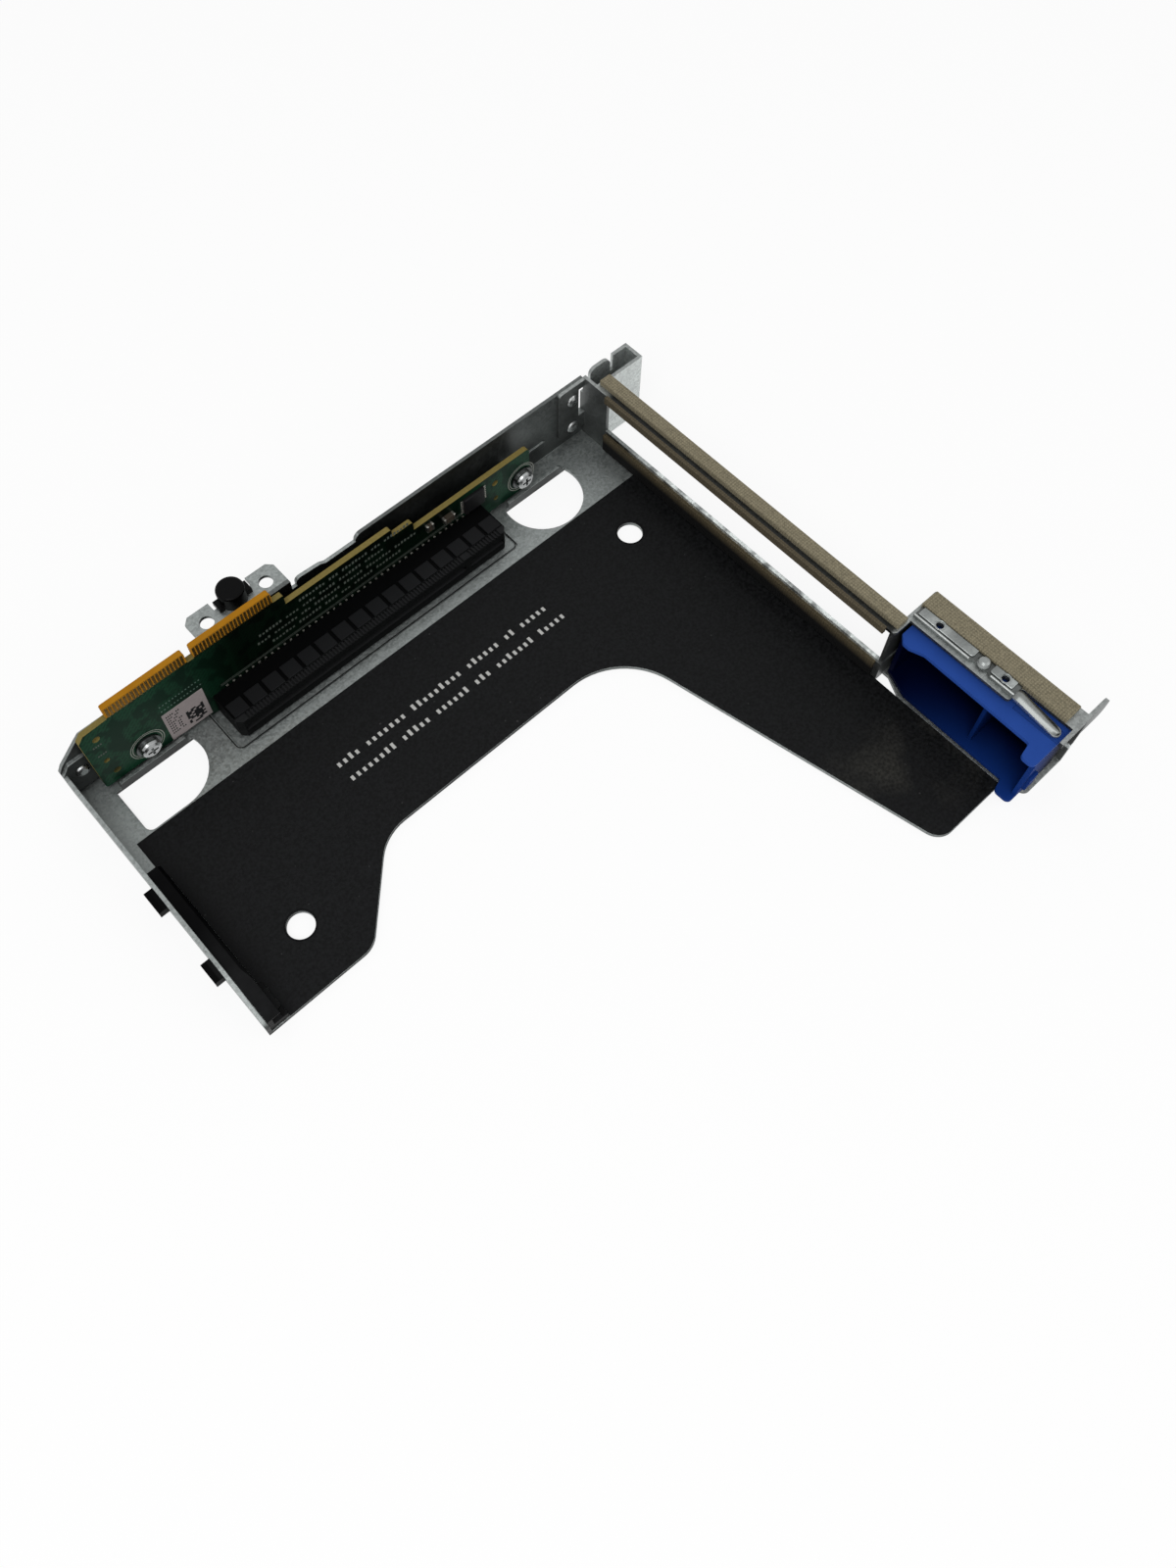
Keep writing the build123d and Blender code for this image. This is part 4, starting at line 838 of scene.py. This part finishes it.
def label_print():
    """Rows of marks and a field of random squares on the label."""
    (left, right), (face, _), (low, high) = LABEL_SPANS
    ink = (face - LABEL_INK_THICK, face)
    split = left + (right - left) * LABEL_SHARE
    marks = []
    for row in range(LABEL_ROWS):
        base = high - LABEL_FIRST_ROW - row * LABEL_PITCH
        words = [chance.randint(2, 4), 2]
        for ends in letter_places(left + LABEL_MARGIN, words, LABEL_LETTER, LABEL_ADVANCE):
            if ends[1] < split:
                marks.append((ends, ink, (base, base + LABEL_TALL)))
    for row in range(CELL_ROWS):
        base = low + CELL_FOOT + row * CELL
        for step in range(int((right - LABEL_MARGIN - split) / CELL)):
            if chance.random() < CELL_SHARE:
                across = split + CELL_GAP + step * CELL
                marks.append(((across, across + CELL), ink, (base, base + CELL)))
    blocks("label_print", marks, LABEL_INK)


def chip_leads():
    """Leads on both sides of the chip."""
    (left, right), _, (low, _) = CHIP_SPANS
    leads = []
    for side, outward in ((left, -1), (right, 1)):
        across = tuple(sorted((side, side + outward * LEAD_LONG)))
        for step in range(LEADS):
            z = low + LEAD_START + step * LEAD_PITCH
            leads.append((across, (BOARD_FACE - LEAD_THICK, BOARD_FACE), (z, z + LEAD_WIDTH)))
    blocks("chip_leads", leads, SOLDER, round_mm=0.05)


def capacitor_caps():
    """Metal ends of the two capacitors."""
    caps = []
    for x, z, length, width, thick in CAPACITORS:
        deep = (BOARD_FACE - thick - CAP_WALL, BOARD_FACE)
        height = (z - width / 2 - CAP_WALL, z + width / 2 + CAP_WALL)
        for end in (x - length / 2, x + length / 2):
            caps.append(((end - CAP_HALF, end + CAP_HALF), deep, height))
    blocks("capacitor_caps", caps, SOLDER, round_mm=0.1)


def spring_details():
    """Raised pads of the leaf spring with its two holes, their rims, and the fold along its free edge."""
    across = (SPRING_LEFT + PAD_INSETS[0], SPRING_RIGHT - PAD_INSETS[1])
    top = SPRING_TOP + PAD_RISE
    holes = [(DOME[0] + HOLE_ASIDE, DOME[1] + place) for place in HOLE_PLACES]
    near_span = (DOME[1] + NEAR_PAD_START, SPRING_NEAR - NEAR_PAD_SHORT)
    far_span = (DOME[1] + FAR_PAD[0], DOME[1] + FAR_PAD[1])
    near = rounded_corners(across, near_span, NEAR_PAD_RADII)
    far = rounded_corners(across, far_span, FAR_PAD_RADII)
    for label, outline, hole in zip(("near", "far"), (near, far), holes):
        outlines = [outline, circle(*hole, SPRING_HOLE_R)]
        plate(f"spring_pad_{label}", outlines, SPRING_TOP - PAD_SINK, top, SPRING_METAL, PAD_ROUND)
    rims = [((x, y, top), *HOLE_RIM) for x, y in holes]
    rings("spring_hole_rims", rims, SPRING_METAL, upright=False, rise=HOLE_RIM_RISE)
    fold = (SPRING_LEFT, SPRING_LEFT + FOLD_WIDE)
    height = (SPRING_TOP - FOLD_SINK, SPRING_TOP + FOLD_RISE)
    lengths = ((DOME[1] + FOLD_CLEAR, SPRING_NEAR), (SPRING_FAR, DOME[1] - FOLD_CLEAR))
    # The fold is lighter than the spring, as a painted highlight
    fold_highlight_look = bright_metal("fold", (0.5, 0.52, 0.51), 0.22)
    blocks("spring_fold", [(fold, along, height) for along in lengths], fold_highlight_look, round_mm=0.15)


def spring_finger():
    """Arched back of the spring's finger, which narrows at its tip."""
    drop = SPRING_TOP - FINGER_TIP_HEIGHT
    run = SPRING_FAR - SPRING_TIP
    stations = []
    for share, inset in FINGER_INSETS:
        height = SPRING_TOP + FINGER_RISE - drop * max(0.0, share - FINGER_BEND) / (1 - FINGER_BEND)
        stations.append((SPRING_FAR - run * share, height, inset))
    look = bright_metal("finger_steel", (0.2, 0.21, 0.205), 0.36)
    rolled_strip("spring_finger", stations, FINGER_LOW, FINGER_LOW + FINGER_WIDTH, FINGER_CROWN, look)


def guide_end():
    """Dull top of the guide's wide end, and the dark rim round it."""
    top_look = moulded("dull_black", (0.0095, 0.0098, 0.01), 0.5, specular=0.06)
    plate("guide_end_rim", [END_RIM], *END_RIM_Z, BLACK_PLASTIC, round_mm=0.03)
    plate("guide_end_top", [END_TOP], *END_TOP_Z, top_look, round_mm=0.08)


def pocket_crease_shade():
    """Painted shade along the crease round the pocket under the slot, as a thin dark line."""
    inside_x, inside_y = ((low + CREASE_WIDTH, high - CREASE_WIDTH) for low, high in (CREASE_X, CREASE_Y))
    outside = rounded_corners(CREASE_X, CREASE_Y, CREASE_RADII)
    inside = rounded_corners(inside_x, inside_y, CREASE_INNER_RADII)
    look = bright_metal("crease", (0.035, 0.037, 0.036), 0.4)
    plate("pocket_crease_shade", [outside, inside], *CREASE_Z, look, round_mm=0.005)


edge_details()
slot_tiles()
film_print()
board_print()
label_print()
chip_leads()
capacitor_caps()
spring_details()
spring_finger()
guide_end()
pocket_crease_shade()


def area_light(name, place, target, watt, size):
    """A soft square lamp, turned towards a point."""
    lamp = bpy.data.lights.new(name, "AREA")
    lamp.energy = watt
    lamp.size = size
    holder = bpy.data.objects.new(name, lamp)
    holder.location = place
    direction = Vector(target) - Vector(place)
    holder.rotation_euler = direction.to_track_quat("-Z", "Y").to_euler()
    bpy.context.scene.collection.objects.link(holder)


def seen_directly(tree):
    """1 for what the camera, a mirror or glass sees, and 0 for the light that reaches the object."""
    rays = tree.nodes.new("ShaderNodeLightPath")
    total = rays.outputs["Is Camera Ray"]
    for kind in ("Is Glossy Ray", "Is Transmission Ray"):
        either = tree.nodes.new("ShaderNodeMath")
        either.operation = "MAXIMUM"
        tree.links.new(total, either.inputs[0])
        tree.links.new(rays.outputs[kind], either.inputs[1])
        total = either.outputs["Value"]
    return total


def make_world():
    """Soft even light that shows as white behind the object."""
    world = bpy.data.worlds.new("studio")
    world.use_nodes = True
    bpy.context.scene.world = world
    tree = world.node_tree
    plain = tree.nodes["Background"]
    plain.inputs["Color"].default_value = (1.0, 1.0, 1.0, 1.0)
    plain.inputs["Strength"].default_value = WORLD_LIGHT
    white = tree.nodes.new("ShaderNodeBackground")
    white.inputs["Color"].default_value = (1.0, 1.0, 1.0, 1.0)
    white.inputs["Strength"].default_value = 1.0
    mix = tree.nodes.new("ShaderNodeMixShader")
    tree.links.new(seen_directly(tree), mix.inputs["Fac"])
    tree.links.new(plain.outputs["Background"], mix.inputs[1])
    tree.links.new(white.outputs["Background"], mix.inputs[2])
    tree.links.new(mix.outputs["Shader"], tree.nodes["World Output"].inputs["Surface"])


def make_floor():
    """A wide white floor under the object, which keeps a light shadow of it."""
    mesh = bpy.data.meshes.new("floor")
    corners = [(FLOOR_REACH * x, FLOOR_REACH * y, 0) for x, y in ((-1, -1), (1, -1), (1, 1), (-1, 1))]
    mesh.from_pydata(corners, [], [(0, 1, 2, 3)])
    floor = bpy.data.objects.new("floor", mesh)
    floor.location.z = -FLOOR_DROP
    bpy.context.scene.collection.objects.link(floor)
    paint = bpy.data.materials.new("floor")
    paint.use_nodes = True
    tree = paint.node_tree
    shader = tree.nodes["Principled BSDF"]
    shader.inputs["Base Color"].default_value = (*FLOOR_COLOUR, 1.0)
    shader.inputs["Roughness"].default_value = 0.9
    shader.inputs["Specular IOR Level"].default_value = 0.0
    white = tree.nodes.new("ShaderNodeEmission")
    white.inputs["Strength"].default_value = 1.0
    share = tree.nodes.new("ShaderNodeMath")
    share.operation = "MULTIPLY"
    share.inputs[1].default_value = FLOOR_WHITE
    tree.links.new(seen_directly(tree), share.inputs[0])
    mix = tree.nodes.new("ShaderNodeMixShader")
    tree.links.new(share.outputs["Value"], mix.inputs["Fac"])
    tree.links.new(shader.outputs["BSDF"], mix.inputs[1])
    tree.links.new(white.outputs["Emission"], mix.inputs[2])
    tree.links.new(mix.outputs["Shader"], tree.nodes["Material Output"].inputs["Surface"])
    mesh.materials.append(paint)


def make_camera():
    """The camera where the photograph was taken from."""
    camera = bpy.data.cameras.new("camera")
    width, height = FRAME_SIZE
    camera.sensor_width = SENSOR
    camera.lens = FOCAL_PX * SENSOR / height
    camera.shift_x = (width / 2 - CENTRE_PX[0]) / height
    camera.shift_y = (CENTRE_PX[1] - height / 2) / height
    camera.clip_start = 0.01
    holder = bpy.data.objects.new("camera", camera)
    holder.location = to_row(*CAMERA_PLACE)
    holder.rotation_euler = CAMERA_ANGLES
    bpy.context.scene.collection.objects.link(holder)
    bpy.context.scene.camera = holder


bpy.context.scene.view_settings.view_transform = "Standard"
make_world()
make_floor()
make_camera()
area_light("key", KEY_PLACE, (0, 0, 0), KEY_WATT, KEY_SIZE)
area_light("fill", FILL_PLACE, (0, 0, 0), FILL_WATT, FILL_SIZE)
